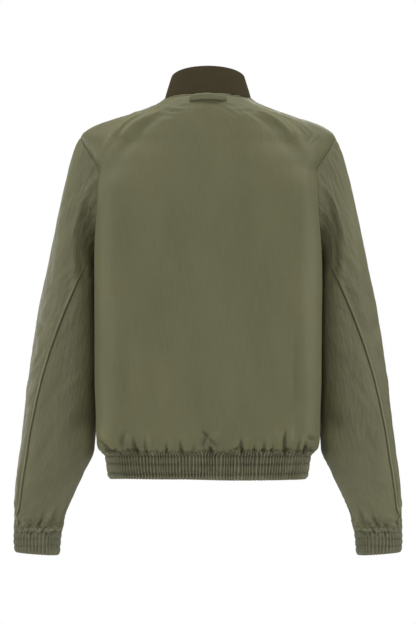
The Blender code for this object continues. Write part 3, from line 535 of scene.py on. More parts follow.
# Creases of a sleeve, in (angle, down). ARC turns the angles into lengths of cloth.
ARC = np.pi / 180.0 * SLEEVE_RADIUS
SLEEVE_CREASES = creases_of((
    # over the cuff
    (76, 352, 33, 410, 3.6, 4.5, -2), (96, 362, 56, 404, 6, -4.6, -3), (52, 300, 49, 392, 3, -2.1, 1.5),
    (58, 280, 60, 366, 4, 1.8), (34, 397, 12, 399, 2.2, -2.2), (30, 391, 14, 393, 2, 1.4),
    (16, 396, 14, 411, 2.2, -4.5, 0, 0, DEEP), (6, 398, 20, 410, 2, 2.1),
    (-12, 372, -6, 411, 4, -3.6, 0, 0, DEEP), (-38, 366, -32, 411, 4.4, -4.8, 0, 0, DEEP),
    (-26, 360, -20, 408, 5, 2.4), (-66, 352, -70, 411, 5, -4.2, 0, 0, DEEP),
    (-120, 360, -112, 411, 5, -4.5, 0, 0, DEEP), (130, 352, 138, 411, 5, -4.8, 0, 0, DEEP),
    (160, 366, 158, 411, 4.4, -3.9, 0, 0, DEEP), (196, 358, 190, 411, 4.6, -4.5, 0, 0, DEEP),
    (175, 350, 172, 408, 6, 2.4),
    # round the elbow
    (66, 66, 30, 98, 6, -2, 4), (68, 82, 28, 118, 7, 2.2, 5), (64, 112, 34, 146, 7, -1.8, 4),
    (76, 156, 60, 214, 6, 1.3, 3), (66, 176, 58, 262, 4, -1.4, 2), (-60, 200, -16, 246, 11, -2.7, -6),
    (-62, 226, -20, 282, 11, 2.2, -6), (20, 160, 8, 330, 12, -1.2, 5), (-4, 190, -8, 350, 12, 1.4, 5),
    (186, 84, 140, 122, 10, -3.9, -6), (196, 104, 146, 148, 8, 2.7, -6), (204, 122, 152, 172, 10, -3.6, -6),
    (196, 170, 158, 214, 9, -2.1, -5),
    # below the armhole
    (-12, -96, -44, 30, 9, -1.6, 5), (2, -84, -24, 50, 9, 1.2, 5), (30, -120, 14, 0, 9, -1.4, 4),
    (66, -130, 44, -10, 10, 1.5, 4), (54, -40, 40, 52, 8, -1.8, 3), (-170, -90, -138, 36, 10, -3.6, -5),
    (182, -100, 210, 40, 9, 2.7, -5), (150, -110, 166, 20, 9, -2.1),
), ARC)


# ---- Meshes ----
def run_along(points: Array, axis: int = 0) -> Array:
    """Length from the first point along an axis to each of its points."""
    steps = np.linalg.norm(np.diff(points, axis=axis), axis=-1)
    return np.insert(np.cumsum(steps, axis=axis), 0, 0.0, axis=axis)


@dataclass
class Grid:
    """A sheet of points: rows go up the cloth, and columns go round it with the outside in front."""

    points: Array
    normals: Array
    uv: Array  # place in the cut cloth, in metres
    wear: Array | None = None  # share by which the colour is painted paler or darker: painted highlight on ridges, painted shade in folds, seams and stitch rows

    def moved(self, rise: Array, wear: Array | None = None) -> Grid:
        """The same grid with each point moved out, and its outward directions worked out anew."""
        points = self.points + self.normals * rise[..., None]
        across, up = np.gradient(points, axis=1), np.gradient(points, axis=0)
        return Grid(points, unit(np.cross(across, up)), self.uv, wear)

    def mirrored(self) -> Grid:
        """The grid on the wearer's left, with its columns still going round the same way."""
        flip = np.array([-1.0, 1.0, 1.0])
        uv = self.uv[:, ::-1] * [-1.0, 1.0]
        wear = None if self.wear is None else self.wear[:, ::-1]
        return Grid(self.points[:, ::-1] * flip, self.normals[:, ::-1] * flip, uv, wear)

    def from_edge(self, at_end: bool) -> Array:
        """Length of cloth from the first column of each row, or from the last one."""
        run = run_along(self.points, 1)
        return run[:, -1:] - run if at_end else run

    def from_row(self, at_top: bool) -> Array:
        """Length of cloth from the lowest row of each column, or from the highest one."""
        run = run_along(self.points)
        return run[-1:] - run if at_top else run

    def edge_line(self, distance: float, at_end: bool) -> Line:
        """The line a distance of cloth inside the first column, or the last one."""
        run = self.from_edge(at_end)
        order = slice(None, None, -1) if at_end else slice(None)
        index = np.array([np.interp(distance, row[order], np.arange(len(row))[order]) for row in run])
        return Line(pick_columns(self.points, index), unit(pick_columns(self.normals, index)))

    def row_line(self, distance: float, at_top: bool) -> Line:
        """The line a distance of cloth inside the lowest row, or the highest one."""
        turned = Grid(self.points.swapaxes(0, 1), self.normals.swapaxes(0, 1), self.uv)
        return turned.edge_line(distance, at_top)


def pick_columns(values: Array, index: Array) -> Array:
    """Values of each row at a fractional column."""
    low = np.clip(np.floor(index).astype(int), 0, values.shape[1] - 2)
    share = (index - low)[:, None]
    rows = np.arange(len(values))
    return values[rows, low] * (1 - share) + values[rows, low + 1] * share


@dataclass
class Line:
    """A line on a piece of cloth, with the outward direction at each point."""

    points: Array
    normals: Array

    def closed(self) -> Line:
        """The same line with its first point again at its end."""
        again = [*range(len(self.points)), 0]
        return Line(self.points[again], self.normals[again])


def crease_shading(rise: Array) -> Array:
    """Painted light and shade from how far its creases move the cloth: a painted highlight on ridges, painted
    shade deep in folds.
    """
    return np.clip(0.05 * rise, -0.32, 0.14)


def add_mesh(
    name: str, points: Array, quads: Array, uv: Array, dress: Dress, wear: Array | None = None
) -> bpy.types.Object:
    """Puts arrays into a mesh whose object is at the origin.

    Args:
        name: name of the object.
        points: corners, in millimetres.
        quads: four corners of each face, going round its outside.
        uv: place of each corner in the cut cloth, in metres.
        dress: the finish it gets.
        wear: how much paler or darker the colour is at each corner, if it varies: mostly painted highlight
            and painted shade.

    Returns:
        The object.
    """
    mesh = bpy.data.meshes.new(name)
    mesh.vertices.add(len(points))
    mesh.vertices.foreach_set("co", (np.asarray(points) * MM).astype(np.float32).ravel())
    mesh.loops.add(quads.size)
    mesh.loops.foreach_set("vertex_index", quads.astype(np.int32).ravel())
    mesh.polygons.add(len(quads))
    mesh.polygons.foreach_set("loop_start", (np.arange(len(quads)) * quads.shape[1]).astype(np.int32))
    mesh.update(calc_edges=True)
    layer = mesh.uv_layers.new(name="cloth")
    layer.data.foreach_set("uv", uv[quads.ravel()].astype(np.float32).ravel())
    if wear is not None:
        values = wear.astype(np.float32).ravel()
        mesh.attributes.new("wear", "FLOAT", "POINT").data.foreach_set("value", values)
    mesh.validate()
    mesh.shade_smooth()
    mesh.materials.append(material_of(dress))
    thing = bpy.data.objects.new(name, mesh)
    bpy.context.scene.collection.objects.link(thing)
    return thing


def quads_of(place: Array, flip: bool = False) -> Array:
    """Faces between neighbouring rows and columns of a grid of point numbers, or of several grids."""
    a, b = place[..., :-1, :-1], place[..., :-1, 1:]
    c, d = place[..., 1:, 1:], place[..., 1:, :-1]
    return np.stack([corner.ravel() for corner in ([a, d, c, b] if flip else [a, b, c, d])], axis=1)


def around(place: Array) -> Array:
    """Point numbers with the first column again at the end, so that the faces go all round."""
    return np.concatenate([place, place[..., :1]], axis=-1)


def cap(ring: Array, flip: bool) -> Array:
    """Faces that close a ring of point numbers, as a ladder across it."""
    half = len(ring) // 2
    return quads_of(np.stack([ring[:half], ring[::-1][:half]], axis=1), flip)


def add_wall(name: str, outer: Grid, thick: float, dress: Dress, closed: bool = False) -> bpy.types.Object:
    """A wall of cloth: the grid, the same grid moved in, and the rims between them.

    Args:
        name: name of the object.
        outer: the outside.
        thick: thickness of the wall.
        dress: the finish it gets.
        closed: whether the last column meets the first.

    Returns:
        The object.
    """
    rows, columns = outer.points.shape[:2]
    inner = outer.points - outer.normals * thick
    place = np.arange(rows * columns).reshape(rows, columns)
    place = around(place) if closed else place
    under = place + rows * columns
    rims = [np.stack([under[0], place[0]]), np.stack([place[-1], under[-1]])]
    if not closed:
        rims += [np.stack([under[:, 0], place[:, 0]], axis=1), np.stack([place[:, -1], under[:, -1]], axis=1)]
    quads = [quads_of(place), quads_of(under, flip=True), *map(quads_of, rims)]
    points = np.concatenate([outer.points.reshape(-1, 3), inner.reshape(-1, 3)])
    uv = np.tile(outer.uv.reshape(-1, 2), (2, 1))
    wear = None if outer.wear is None else np.tile(outer.wear.ravel(), 2)
    return add_mesh(name, points, np.concatenate(quads), uv, dress, wear)


def evenly(form: Form, along: Array, start: Array, end: Array, count: int) -> Array:
    """Angles from start to end with equal lengths of cloth between them, one row for each "along"."""
    share = np.linspace(0, 1, 4 * count + 1)
    fine = start[:, None] + (end - start)[:, None] * share
    run = run_along(form.point(np.broadcast_to(along[:, None], fine.shape), fine), 1)
    even = np.linspace(0, 1, count + 1)
    return np.array([np.interp(even * length[-1], length, row) for length, row in zip(run, fine)])


def grid_on(form: Form, along: Array, angle: Array, middle: int, height: Array) -> Grid:
    """A grid of a form's points.

    Args:
        form: the surface.
        along: its first parameter, one for each row.
        angle: its second parameter at each point.
        middle: the column where the cloth's own x is 0.
        height: the cloth's own y, one for each row, in millimetres.

    Returns:
        The grid, with its place in the cut cloth.
    """
    wide = np.broadcast_to(along[:, None], angle.shape)
    points = form.point(wide, angle)
    run = run_along(points, 1)
    run = run - run[:, middle : middle + 1]
    uv = np.stack([run, np.broadcast_to(height[:, None], run.shape)], axis=-1) * MM
    return Grid(points, form.normal(wide, angle), uv)


# ---- Finishes ----
def linear(hex_colour: str) -> tuple[float, float, float, float]:
    """A colour written as sRGB hex, in linear light."""
    share = np.array([int(hex_colour[k : k + 2], 16) for k in (1, 3, 5)]) / 255.0
    light = np.where(share <= 0.04045, share / 12.92, ((share + 0.055) / 1.055) ** 2.4)
    return (*light.tolist(), 1.0)


def set_up(tree: bpy.types.NodeTree, node: bpy.types.Node, settings: dict, links: dict) -> bpy.types.Node:
    """Sets a node's properties and inputs.

    Args:
        tree: the material's nodes.
        node: the node.
        settings: values of its properties, and of its inputs by their names or numbers.
        links: for each input's name or number, the output that feeds it.

    Returns:
        The node.
    """
    for name, value in settings.items():
        if isinstance(name, int) or name in node.inputs:
            node.inputs[name].default_value = value
        else:
            setattr(node, name, value)
    for name, output in links.items():
        tree.links.new(output, node.inputs[name])
    return node


def add_node(
    tree: bpy.types.NodeTree, kind: str, settings: dict | None = None, links: dict | None = None
) -> bpy.types.Node:
    """Adds a node of a kind, with settings and links as set_up takes them."""
    return set_up(tree, tree.nodes.new(kind), settings or {}, links or {})


def pattern_at(tree: bpy.types.NodeTree, wide: float, high: float) -> bpy.types.NodeSocket:
    """The cloth's own coordinates, scaled so that one unit is one repeat of a pattern of this size."""
    place = add_node(tree, "ShaderNodeUVMap", {"uv_map": "cloth"})
    scale = (1 / (wide * MM), 1 / (high * MM), 1.0)
    at = {"Vector": place.outputs["UV"]}
    return add_node(tree, "ShaderNodeMapping", {"Scale": scale}, at).outputs["Vector"]


@dataclass(frozen=True)
class Finish:
    """A procedural finish whose colour goes between a dark tone and a light one."""

    name: str
    dark: str
    light: str

    def tones(self) -> dict:
        """Settings of a mix of the two tones."""
        return {"data_type": "RGBA", 6: linear(self.dark), 7: linear(self.light)}

    def build(self, tree: bpy.types.NodeTree, shader: bpy.types.Node) -> None:
        """Adds the finish's nodes to a material and feeds its shader."""
        raise NotImplementedError


@dataclass(frozen=True)
class CrinkledNylon(Finish):
    """Plain-woven nylon, garment-washed: it dries with fine crinkles along the warp and a slight sheen."""

    name: str = "crinkled_nylon"
    dark: str = "#5C5B40"
    light: str = "#666546"
    crinkle_wide: float = 1.9  # mm across a crinkle
    crinkle_long: float = 30.0  # mm along it
    patch: float = 70.0  # mm, width of the paler patches
    patch_tall: float = 1 / 0.45  # their height, as a share of it
    crinkle_high: float = 0.25  # mm, how deep the crinkles are
    weave: float = 0.9  # mm; the real 0.3 mm weave wouldn't show
    roughness: float = 0.56

    def build(self, tree: bpy.types.NodeTree, shader: bpy.types.Node) -> None:
        """Paler patches and streaks in the colour, the painted highlight and shade that each point carries,
        and crinkles and weave as relief.
        """
        add = partial(add_node, tree)
        streak_at = pattern_at(tree, self.crinkle_wide, self.crinkle_long)
        streaky = {"Scale": 1.0, "Detail": 4.0, "Roughness": 0.62}
        streak = add("ShaderNodeTexNoise", streaky, {"Vector": streak_at})
        patch_at = pattern_at(tree, self.patch, self.patch * self.patch_tall)
        patch = add("ShaderNodeTexNoise", {"Scale": 1.0, "Detail": 3.0}, {"Vector": patch_at})
        summed = {0: streak.outputs["Fac"], 1: patch.outputs["Fac"]}
        both = add("ShaderNodeMath", {"operation": "ADD"}, summed)
        tint = add("ShaderNodeMapRange", {"From Min": 0.72, "From Max": 1.28}, {"Value": both.outputs[0]})
        colour = add("ShaderNodeMix", self.tones(), {0: tint.outputs["Result"]})
        # the colour is scaled by each point's painted highlight and painted shade, read from the mesh
        wear = add("ShaderNodeAttribute", {"attribute_name": "wear"})
        paler = add("ShaderNodeMath", {"operation": "ADD", 1: 1.0}, {0: wear.outputs["Fac"]})
        scaled = {"Vector": colour.outputs[2], "Scale": paler.outputs[0]}
        wear_and_painted_shade = add("ShaderNodeVectorMath", {"operation": "SCALE"}, scaled)
        weave_at = pattern_at(tree, self.weave, self.weave)
        weave = add("ShaderNodeTexChecker", {"Scale": 1.0}, {"Vector": weave_at})
        deep = {"Strength": 1.0, "Distance": self.crinkle_high * MM}
        low = add("ShaderNodeBump", deep, {"Height": streak.outputs["Fac"]})
        over = {"Height": weave.outputs["Fac"], "Normal": low.outputs["Normal"]}
        fine = add("ShaderNodeBump", {"Strength": 0.05, "Distance": 0.0001}, over)
        glossy = {"To Min": self.roughness - 0.07, "To Max": self.roughness + 0.09}
        gloss = add("ShaderNodeMapRange", glossy, {"Value": streak.outputs["Fac"]})
        fed = {"Base Color": wear_and_painted_shade.outputs["Vector"], "Normal": fine.outputs["Normal"]}
        fed["Roughness"] = gloss.outputs["Result"]
        sheen = {"Sheen Weight": 0.08, "Sheen Roughness": 0.4, "Sheen Tint": linear("#D8D6B8")}
        set_up(tree, shader, {"Specular IOR Level": 0.34, **sheen}, fed)


@dataclass(frozen=True)
class RibKnit(Finish):
    """Wool-blend rib knit: matt, with a soft nap, darker between its ribs."""

    name: str = "wool_rib_knit"
    dark: str = "#2D2819"
    light: str = "#463E2A"
    stitch_wide: float = 1.2
    stitch_high: float = 1.6

    def build(self, tree: bpy.types.NodeTree, shader: bpy.types.Node) -> None:
        """Rows of knit loops as relief, and a slightly uneven yarn colour."""
        add = partial(add_node, tree)
        at = {"Vector": pattern_at(tree, self.stitch_wide, self.stitch_high)}
        looped = {"Scale": 0.32, "Distortion": 1.2, "Detail": 1.0, "bands_direction": "Y"}
        loop = add("ShaderNodeTexWave", looped, at)
        yarn = add("ShaderNodeTexNoise", {"Scale": 0.6, "Detail": 4.0}, at)
        colour = add("ShaderNodeMix", self.tones(), {0: yarn.outputs["Fac"]})
        bump = add("ShaderNodeBump", {"Strength": 0.4, "Distance": 0.0003}, {"Height": loop.outputs["Fac"]})
        sheen = {"Sheen Weight": 0.08, "Sheen Roughness": 0.5, "Sheen Tint": linear("#8A7A5C")}
        fed = {"Base Color": colour.outputs[2], "Normal": bump.outputs["Normal"]}
        set_up(tree, shader, {"Roughness": 0.9, "Specular IOR Level": 0.15, **sheen}, fed)


@dataclass(frozen=True)
class WovenTape(Finish):
    """Herringbone-woven polyester tape: matt, with fine ridges across it."""

    name: str = "woven_tape"
    dark: str = "#4C4B35"
    light: str = "#605E45"
    ridge: float = 1.1

    def build(self, tree: bpy.types.NodeTree, shader: bpy.types.Node) -> None:
        """Slanting ridges that turn back at each repeat, in relief and in colour."""
        add = partial(add_node, tree)
        at = {"Vector": pattern_at(tree, self.ridge, self.ridge)}
        ridge = add("ShaderNodeTexWave", {"Scale": 0.31, "bands_direction": "DIAGONAL"}, at)
        colour = add("ShaderNodeMix", self.tones(), {0: ridge.outputs["Fac"]})
        bump = add("ShaderNodeBump", {"Strength": 0.3, "Distance": 0.0002}, {"Height": ridge.outputs["Fac"]})
        fed = {"Base Color": colour.outputs[2], "Normal": bump.outputs["Normal"]}
        set_up(tree, shader, {"Roughness": 0.75, "Specular IOR Level": 0.3}, fed)


@dataclass(frozen=True)
class AntiqueBrass(Finish):
    """Die-cast zip metal with an antique brass plating, tumbled: dark, satin and a little scuffed."""

    name: str = "antique_brass"
    dark: str = "#5A4A30"
    light: str = "#9C8458"
    scuff: float = 1.5

    def build(self, tree: bpy.types.NodeTree, shader: bpy.types.Node) -> None:
        """Scuffs that lighten the plating and change its gloss."""
        add = partial(add_node, tree)
        at = {"Vector": add("ShaderNodeTexCoord").outputs["Object"]}
        scuff = add("ShaderNodeTexNoise", {"Scale": 1 / (self.scuff * MM), "Detail": 5.0}, at)
        colour = add("ShaderNodeMix", self.tones(), {0: scuff.outputs["Fac"]})
        gloss = add("ShaderNodeMapRange", {"To Min": 0.24, "To Max": 0.5}, {"Value": scuff.outputs["Fac"]})
        fed = {"Base Color": colour.outputs[2], "Roughness": gloss.outputs["Result"]}
        set_up(tree, shader, {"Metallic": 1.0}, fed)


@dataclass(frozen=True)
class SewingThread(Finish):
    """Spun polyester thread: matt, with a fine twist."""

    name: str = "sewing_thread"
    dark: str = "#3C3B2B"
    light: str = "#504F3A"
    twist: float = 0.5

    def build(self, tree: bpy.types.NodeTree, shader: bpy.types.Node) -> None:
        """The twist as slanting bands."""
        add = partial(add_node, tree)
        at = {"Vector": add("ShaderNodeTexCoord").outputs["Object"]}
        banded = {"Scale": 0.31 / (self.twist * MM), "bands_direction": "DIAGONAL"}
        twist = add("ShaderNodeTexWave", banded, at)
        colour = add("ShaderNodeMix", self.tones(), {0: twist.outputs["Fac"]})
        set_up(tree, shader, {"Roughness": 0.7, "Specular IOR Level": 0.3}, {"Base Color": colour.outputs[2]})


@dataclass(frozen=True)
class StudioPaper(Finish):
    """Matt seamless paper, nearly white."""

    name: str = "studio_paper"
    dark: str = "#EFEFEC"
    light: str = "#F6F6F4"

    def build(self, tree: bpy.types.NodeTree, shader: bpy.types.Node) -> None:
        """A faint mottle."""
        add = partial(add_node, tree)
        at = {"Vector": add("ShaderNodeTexCoord").outputs["Object"]}
        mottle = add("ShaderNodeTexNoise", {"Scale": 3.0}, at)
        colour = add("ShaderNodeMix", self.tones(), {0: mottle.outputs["Fac"]})
        set_up(tree, shader, {"Roughness": 0.95}, {"Base Color": colour.outputs[2]})


class Dress(Enum):
    """The finishes of the jacket's pieces, and the record's material slot of each."""

    NYLON = (CrinkledNylon(), "cloth")
    WORN_NYLON = (CrinkledNylon("worn_nylon", "#605F44", "#6C6B50", 5.0, 24.0, crinkle_high=2.0), "cloth")
    GATHERED_NYLON = (CrinkledNylon("gathered_nylon", "#65644C", "#6F6E56"), "cloth")
    KNIT = (RibKnit(), "rib_knit")
    TAPE = (WovenTape(), "tape")
    BRASS = (AntiqueBrass(), "metal")
    THREAD = (SewingThread(), "cloth")
    PAPER = (StudioPaper(), "")


def material_of(dress: Dress) -> bpy.types.Material:
    """The material of a finish, made when it is first asked for."""
    finish = dress.value[0]
    if finish.name in bpy.data.materials:
        return bpy.data.materials[finish.name]
    material = bpy.data.materials.new(finish.name)
    material.use_nodes = True
    finish.build(material.node_tree, material.node_tree.nodes["Principled BSDF"])
    return material


# ---- Relief at seams ----
@dataclass(frozen=True)
class SeamRelief:
    """The cloth beside a seam: it dips into the seam, and lies higher over the pressed allowance."""

    dip: float = 0.5
    dip_wide: float = 0.9
    allowance: float = 0.0  # how much the allowance lifts the cloth, 0 where it is pressed away
    allowance_wide: float = 6.5
    pucker: float = 0.22
    pucker_long: float = 9.0

    def rise(self, distance: Array, along: Array, seed: int) -> Array:
        """Height of the relief.

        Args:
            distance: length of cloth from the seam.
            along: length of cloth along the seam.
            seed: which puckers.

        Returns:
            How far each point moves out.
        """
        lifted = self.allowance * ease(distance / 1.6) * ease((self.allowance_wide + 0.8 - distance) / 1.6)
        puckers = noise(along, 0.0, self.pucker_long, 1.0, seed) * np.exp(-distance / 6.0)
        dip = -self.dip * np.exp(-((distance / self.dip_wide) ** 2))
        return dip + lifted + self.pucker * puckers


PLAIN_SEAM = SeamRelief()
PRESSED_SEAM = SeamRelief(allowance=0.7)
SHARP_SEAM = SeamRelief(dip=0.5, dip_wide=1.2, allowance=1.2, allowance_wide=5.4, pucker=0.35)


def crinkles(grid: Grid, seed: int, slant: float = 0.0, wear_and_painted_shade: float = 0.0) -> Array:
    """The washed cloth's own unevenness: long soft ripples and finer crinkles, gone at the seams.

    Args:
        grid: the cloth.
        seed: which crinkles.
        slant: how far the crinkles lean across the warp, as a share of their length.
        wear_and_painted_shade: height of the sharper crinkles that wearing and packing leave.

    Returns:
        How far each point moves out.
    """
    u, v = grid.uv[..., 0] / MM, grid.uv[..., 1] / MM
    lean = noise(u, v, 90.0, 160.0, seed + 3) * 8.0 + slant * v
    rise = 0.55 * noise(u + lean, v, 15.0, 120.0, seed) + 0.2 * noise(u + lean, v, 5.5, 55.0, seed + 1)
    rise += 0.9 * noise(u, v, 70.0, 130.0, seed + 2)
    if wear_and_painted_shade:
        sharp = 1 - 2 * np.abs(noise(u + lean * 1.6, v, 9.0, 34.0, seed + 4)) ** 0.8
        rise += wear_and_painted_shade * sharp * (0.6 + 0.4 * noise(u, v, 40.0, 60.0, seed + 5))
    near = np.minimum(grid.from_edge(at_end=False), grid.from_edge(at_end=True))
    return rise * ease(near / 12.0)


# ---- Pieces ----
def seat(piece: bpy.types.Object, dress: Dress, *nodes: str, body: str = JACKET_BODY) -> None:
    """Hides the CAD nodes that a piece stands for, hangs it on what it rides on and logs its triangles."""
    if nodes:
        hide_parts(*nodes)
    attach(piece, body)
    triangles = sum(len(face.vertices) - 2 for face in piece.data.polygons)
    log.info("%s: %d triangles", piece.name, triangles)


@dataclass(frozen=True)
class Cut:
    """The size that a piece of cloth was cut to, in metres: its rectangle and its own area."""

    width: float
    length: float
    area: float | None = None
    held: str = "hung"
    rests_on: str = "back_panel"

    def declare(self, piece: bpy.types.Object) -> None:
        """Does nothing with the piece: the cut is kept only as data."""


def add_cloth(
    name: str, outer: Grid, thick: float, dress: Dress, node: str, cut: Cut, closed: bool = False
) -> None:
    """Adds a wall of cloth, hides the CAD node that it stands for and hangs it on the jacket.

    Args:
        name: name of the object.
        outer: the outside.
        thick: thickness of the wall.
        dress: the finish it gets.
        node: the CAD node that it stands for.
        cut: the size of its cloth.
        closed: whether the last column meets the first.
    """
    piece = add_wall(name, outer, thick, dress, closed)
    seat(piece, dress, node)
    cut.declare(piece)


def add_solid(name: str, parts: Sequence[tuple], dress: Dress, *nodes: str, body: str = JACKET_BODY) -> None:
    """Adds one object of several closed meshes.

    Args:
        name: name of the object.
        parts: points and faces of each mesh.
        dress: the finish it gets.
        nodes: the CAD nodes that it stands for.
        body: what it rides on.
    """
    starts = np.cumsum([0] + [len(points) for points, _ in parts])
    points = np.concatenate([points for points, _ in parts])
    quads = np.concatenate([quads + start for (_, quads), start in zip(parts, starts)])
    seat(add_mesh(name, points, quads, points[:, [0, 2]] * MM, dress), dress, *nodes, body=body)


@dataclass
class Stitching:
    """Rows of lockstitches, each a short arched thread on the cloth."""

    rows: list[Line]
    pitch: float = 3.4
    length: float = 2.5
    radius: float = 0.34
    arch: float = 0.35
    stations: int = 3
    sides: int = 4

    def row_mesh(self, line: Line) -> tuple[Array, Array]:
        """Points and faces of one row's stitches.

        Each stitch is a tube of four sides through three stations, arched over the cloth and closed at
        its ends.
        """
        run = run_along(line.points)
        count = max(int((run[-1] - self.length) / self.pitch) + 1, 1)
        share = np.linspace(0, 1, self.stations)
        at = (np.arange(count) * self.pitch + 0.5)[:, None] + self.length * share
        place = np.stack([np.interp(at, run, line.points[:, k]) for k in range(3)], axis=-1)
        out = unit(np.stack([np.interp(at, run, line.normals[:, k]) for k in range(3)], axis=-1))
        place = place + out * (self.radius * 0.3 + self.arch * 4 * share * (1 - share))[:, None]
        ahead = unit(place[:, -1:] - place[:, :1])
        side = unit(np.cross(ahead, out))
        angle = np.arange(self.sides) * 2 * np.pi / self.sides
        size = self.radius * (0.55 + 0.45 * np.sin(np.pi * share))
        spread = np.cos(angle)[:, None] * side[:, :, None] + np.sin(angle)[:, None] * out[:, :, None]
        points = place[:, :, None] + spread * size[:, None, None]
        number = np.arange(count * self.stations * self.sides).reshape(count, self.stations, self.sides)
        quads = [quads_of(around(number)), number[:, 0, ::-1], number[:, -1]]
        return points.reshape(-1, 3), np.concatenate(quads)

    def add(self, name: str) -> None:
        """Adds one object of all its rows."""
        add_solid(name, [self.row_mesh(line) for line in self.rows], Dress.THREAD)


PANEL_THICK = 1.0  # thickness of a panel's cloth and lining together
HEM_PUCKER_LONG = 12.0  # how far up the body the hem's small puckers reach
ELBOW_STITCHES = (1.6, 6.0)  # distances of the rows of stitches from a top sleeve's elbow seam,
NECK_STITCH = 5.0  # from the neck seam,
ZIP_STITCH = 7.0  # from a front's edge at the zip
LOOP_STITCHES = (1.5, 7.0)  # and from each end of the locker loop


def body_rows(count_hem: int, count: int) -> Array:
    """Heights of the body's rows, closer together over the hem."""
    low = np.linspace(0.0, 40.0, count_hem, endpoint=False)
    return np.concatenate([low, np.linspace(40.0, UP_NECK, count)])


def side_edge(up: Array) -> Array:
    """How far round from the side a body panel's edge is: at the armhole, or else half a seam's gap."""
    return np.maximum(TORSO.armhole_cut(up), TORSO.angle_for(up, np.full_like(up, 90.0), SEAM_GAP / 2))


def hem_puckers(across: Array, up: Array, seed: int) -> Array:
    """Small uneven pleats where the body is gathered into the hem band, fading upwards."""
    warp = noise(across, up, 34.0, 60.0, seed) * 5.0
    pleat = np.cos(2 * np.pi * (across + warp + noise(across, up, 16.0, 14.0, seed + 1) * 2.0) / 9.6)
    size = 1.0 + 0.6 * noise(across, 0.0, 21.0, 1.0, seed + 2)
    fine = np.cos(2 * np.pi * (across + warp) / 4.8) - 1
    rise = size * (pleat - 1) * np.exp(-((up / HEM_PUCKER_LONG) ** 1.5))
    return rise + 0.8 * fine * np.exp(-((up / 6.0) ** 2)) + 2.2 * np.exp(-((up / 3.0) ** 2))


def cuff_wrinkles(points: Array, distance: Array) -> Array:
    """Short crossing wrinkles on both sides of a cuff's seam.

    Args:
        points: points of the cloth, from which the wrinkles are worked out, so that they cross the seam.
        distance: length of cloth from the seam.

    Returns:
        How far each point moves out.
    """
    angle = np.arctan2(points[..., 0] - CUFF_MIDDLE[0], CUFF_MIDDLE[1] - points[..., 1])
    round_arm = np.degrees(angle) * 0.7
    high = points[..., 2]
    falling = noise(round_arm + 0.9 * high, high - 0.4 * round_arm, 3.0, 9.0, 171)
    rising = noise(round_arm - 0.8 * high, high + 0.4 * round_arm, 3.4, 10.0, 172)
    size = (0.3 + 0.7 * np.cos(angle) ** 2) * np.exp(-(((distance - 2.0) / 10.0) ** 2))
    return (3.8 * falling + 3.0 * rising) * size


@dataclass
class BackPanel:
    """The back, in one piece between the side seams, armholes and shoulder seams."""

    columns: int = 300
    hem_rows: int = 30
    rows: int = 108
    edge_painted_highlight: float = 0.12  # painted highlight: how much paler the cloth is along its side edges, where they catch the light
    cut: Cut = Cut(0.56, 0.64, 0.275, rests_on="rib_collar")

    def build(self) -> Grid:
        """Makes the panel and returns its outside, for the stitches on it."""
        up = body_rows(self.hem_rows, self.rows)
        side = side_edge(up)
        turn = evenly(TORSO, up, side - 90.0, 90.0 - side, self.columns)
        grid = grid_on(TORSO, up, turn, self.columns // 2, up)
        x = grid.points[..., 0]
        height = np.broadcast_to(up[:, None], x.shape)
        puckers = hem_puckers(grid.uv[..., 0] / MM, height, 21)
        rise = body_creases(grid.points, height)
        # painted highlight on the creases' ridges, painted shade in their folds and in the hem's puckers
        wear = crease_shading(rise + 0.6 * puckers)
        # a painted highlight along each side edge, below the armhole
        for at_end in (False, True):
            rim = np.exp(-((grid.from_edge(at_end) / 9.0) ** 2))
            wear += self.edge_painted_highlight * rim * ease((UP_UNDERARM - height) / 40.0)
        rise += crinkles(grid, 11) + puckers
        rise += crinkles(grid, 15, slant=0.6, wear_and_painted_shade=0.8) * ease((height - 500.0) / 60.0)
        for at_end in (False, True):
            rise += PRESSED_SEAM.rise(grid.from_edge(at_end), height, 31 + at_end)
        rise += SHARP_SEAM.rise(grid.from_row(at_top=True), x, 34) * 0.5
        outer = grid.moved(rise, wear)
        add_cloth("back_panel", outer, PANEL_THICK, Dress.NYLON, "back", self.cut)
        return outer


@dataclass
class FrontPanels:
    """The two fronts, from the side seam to the zip."""

    columns: int = 104
    hem_rows: int = 24
    rows: int = 150
    cut: Cut = Cut(0.27, 0.56, 0.113)

    def build(self) -> list[Grid]:
        """Makes both panels and returns their outsides, the wearer's right one first."""
        up = body_rows(self.hem_rows, self.rows)
        side = side_edge(up)
        slot = TORSO.angle_for(up, np.full_like(up, ZIP_TURN), HALF_SLOT)
        turn = evenly(TORSO, up, side + 90.0, ZIP_TURN - slot, self.columns)
        grid = grid_on(TORSO, up, turn, self.columns, up)
        x = grid.points[..., 0]
        height = np.broadcast_to(up[:, None], x.shape)
        from_zip = grid.from_edge(at_end=True)
        seams = PLAIN_SEAM.rise(grid.from_edge(at_end=False), height, 41)
        seams += SHARP_SEAM.rise(grid.from_row(at_top=True), x, 42) * 0.5
        folded = 0.5 * ease((9.0 - from_zip) / 2.0) - 0.7 * np.exp(-((from_zip / 0.9) ** 2))
        still = ease((from_zip - 4.0) / 20.0)
        made = []
        for name, seed in (("right", 51), ("left", 61)):
            side = np.array([1.0 if name == "right" else -1.0, 1.0, 1.0])
            rise = body_creases(grid.points * side, height)
            # painted highlight on the creases' ridges and painted shade in their folds
            wear = crease_shading(rise)
            rise = (rise + crinkles(grid, seed) + hem_puckers(from_zip, height, seed + 5)) * still
            outer = grid.moved(rise + seams + folded, wear)
            outer = outer if name == "right" else outer.mirrored()
            add_cloth(f"front_panel_{name}", outer, PANEL_THICK, Dress.NYLON, f"front_{name}", self.cut)
            made.append(outer)
        return made


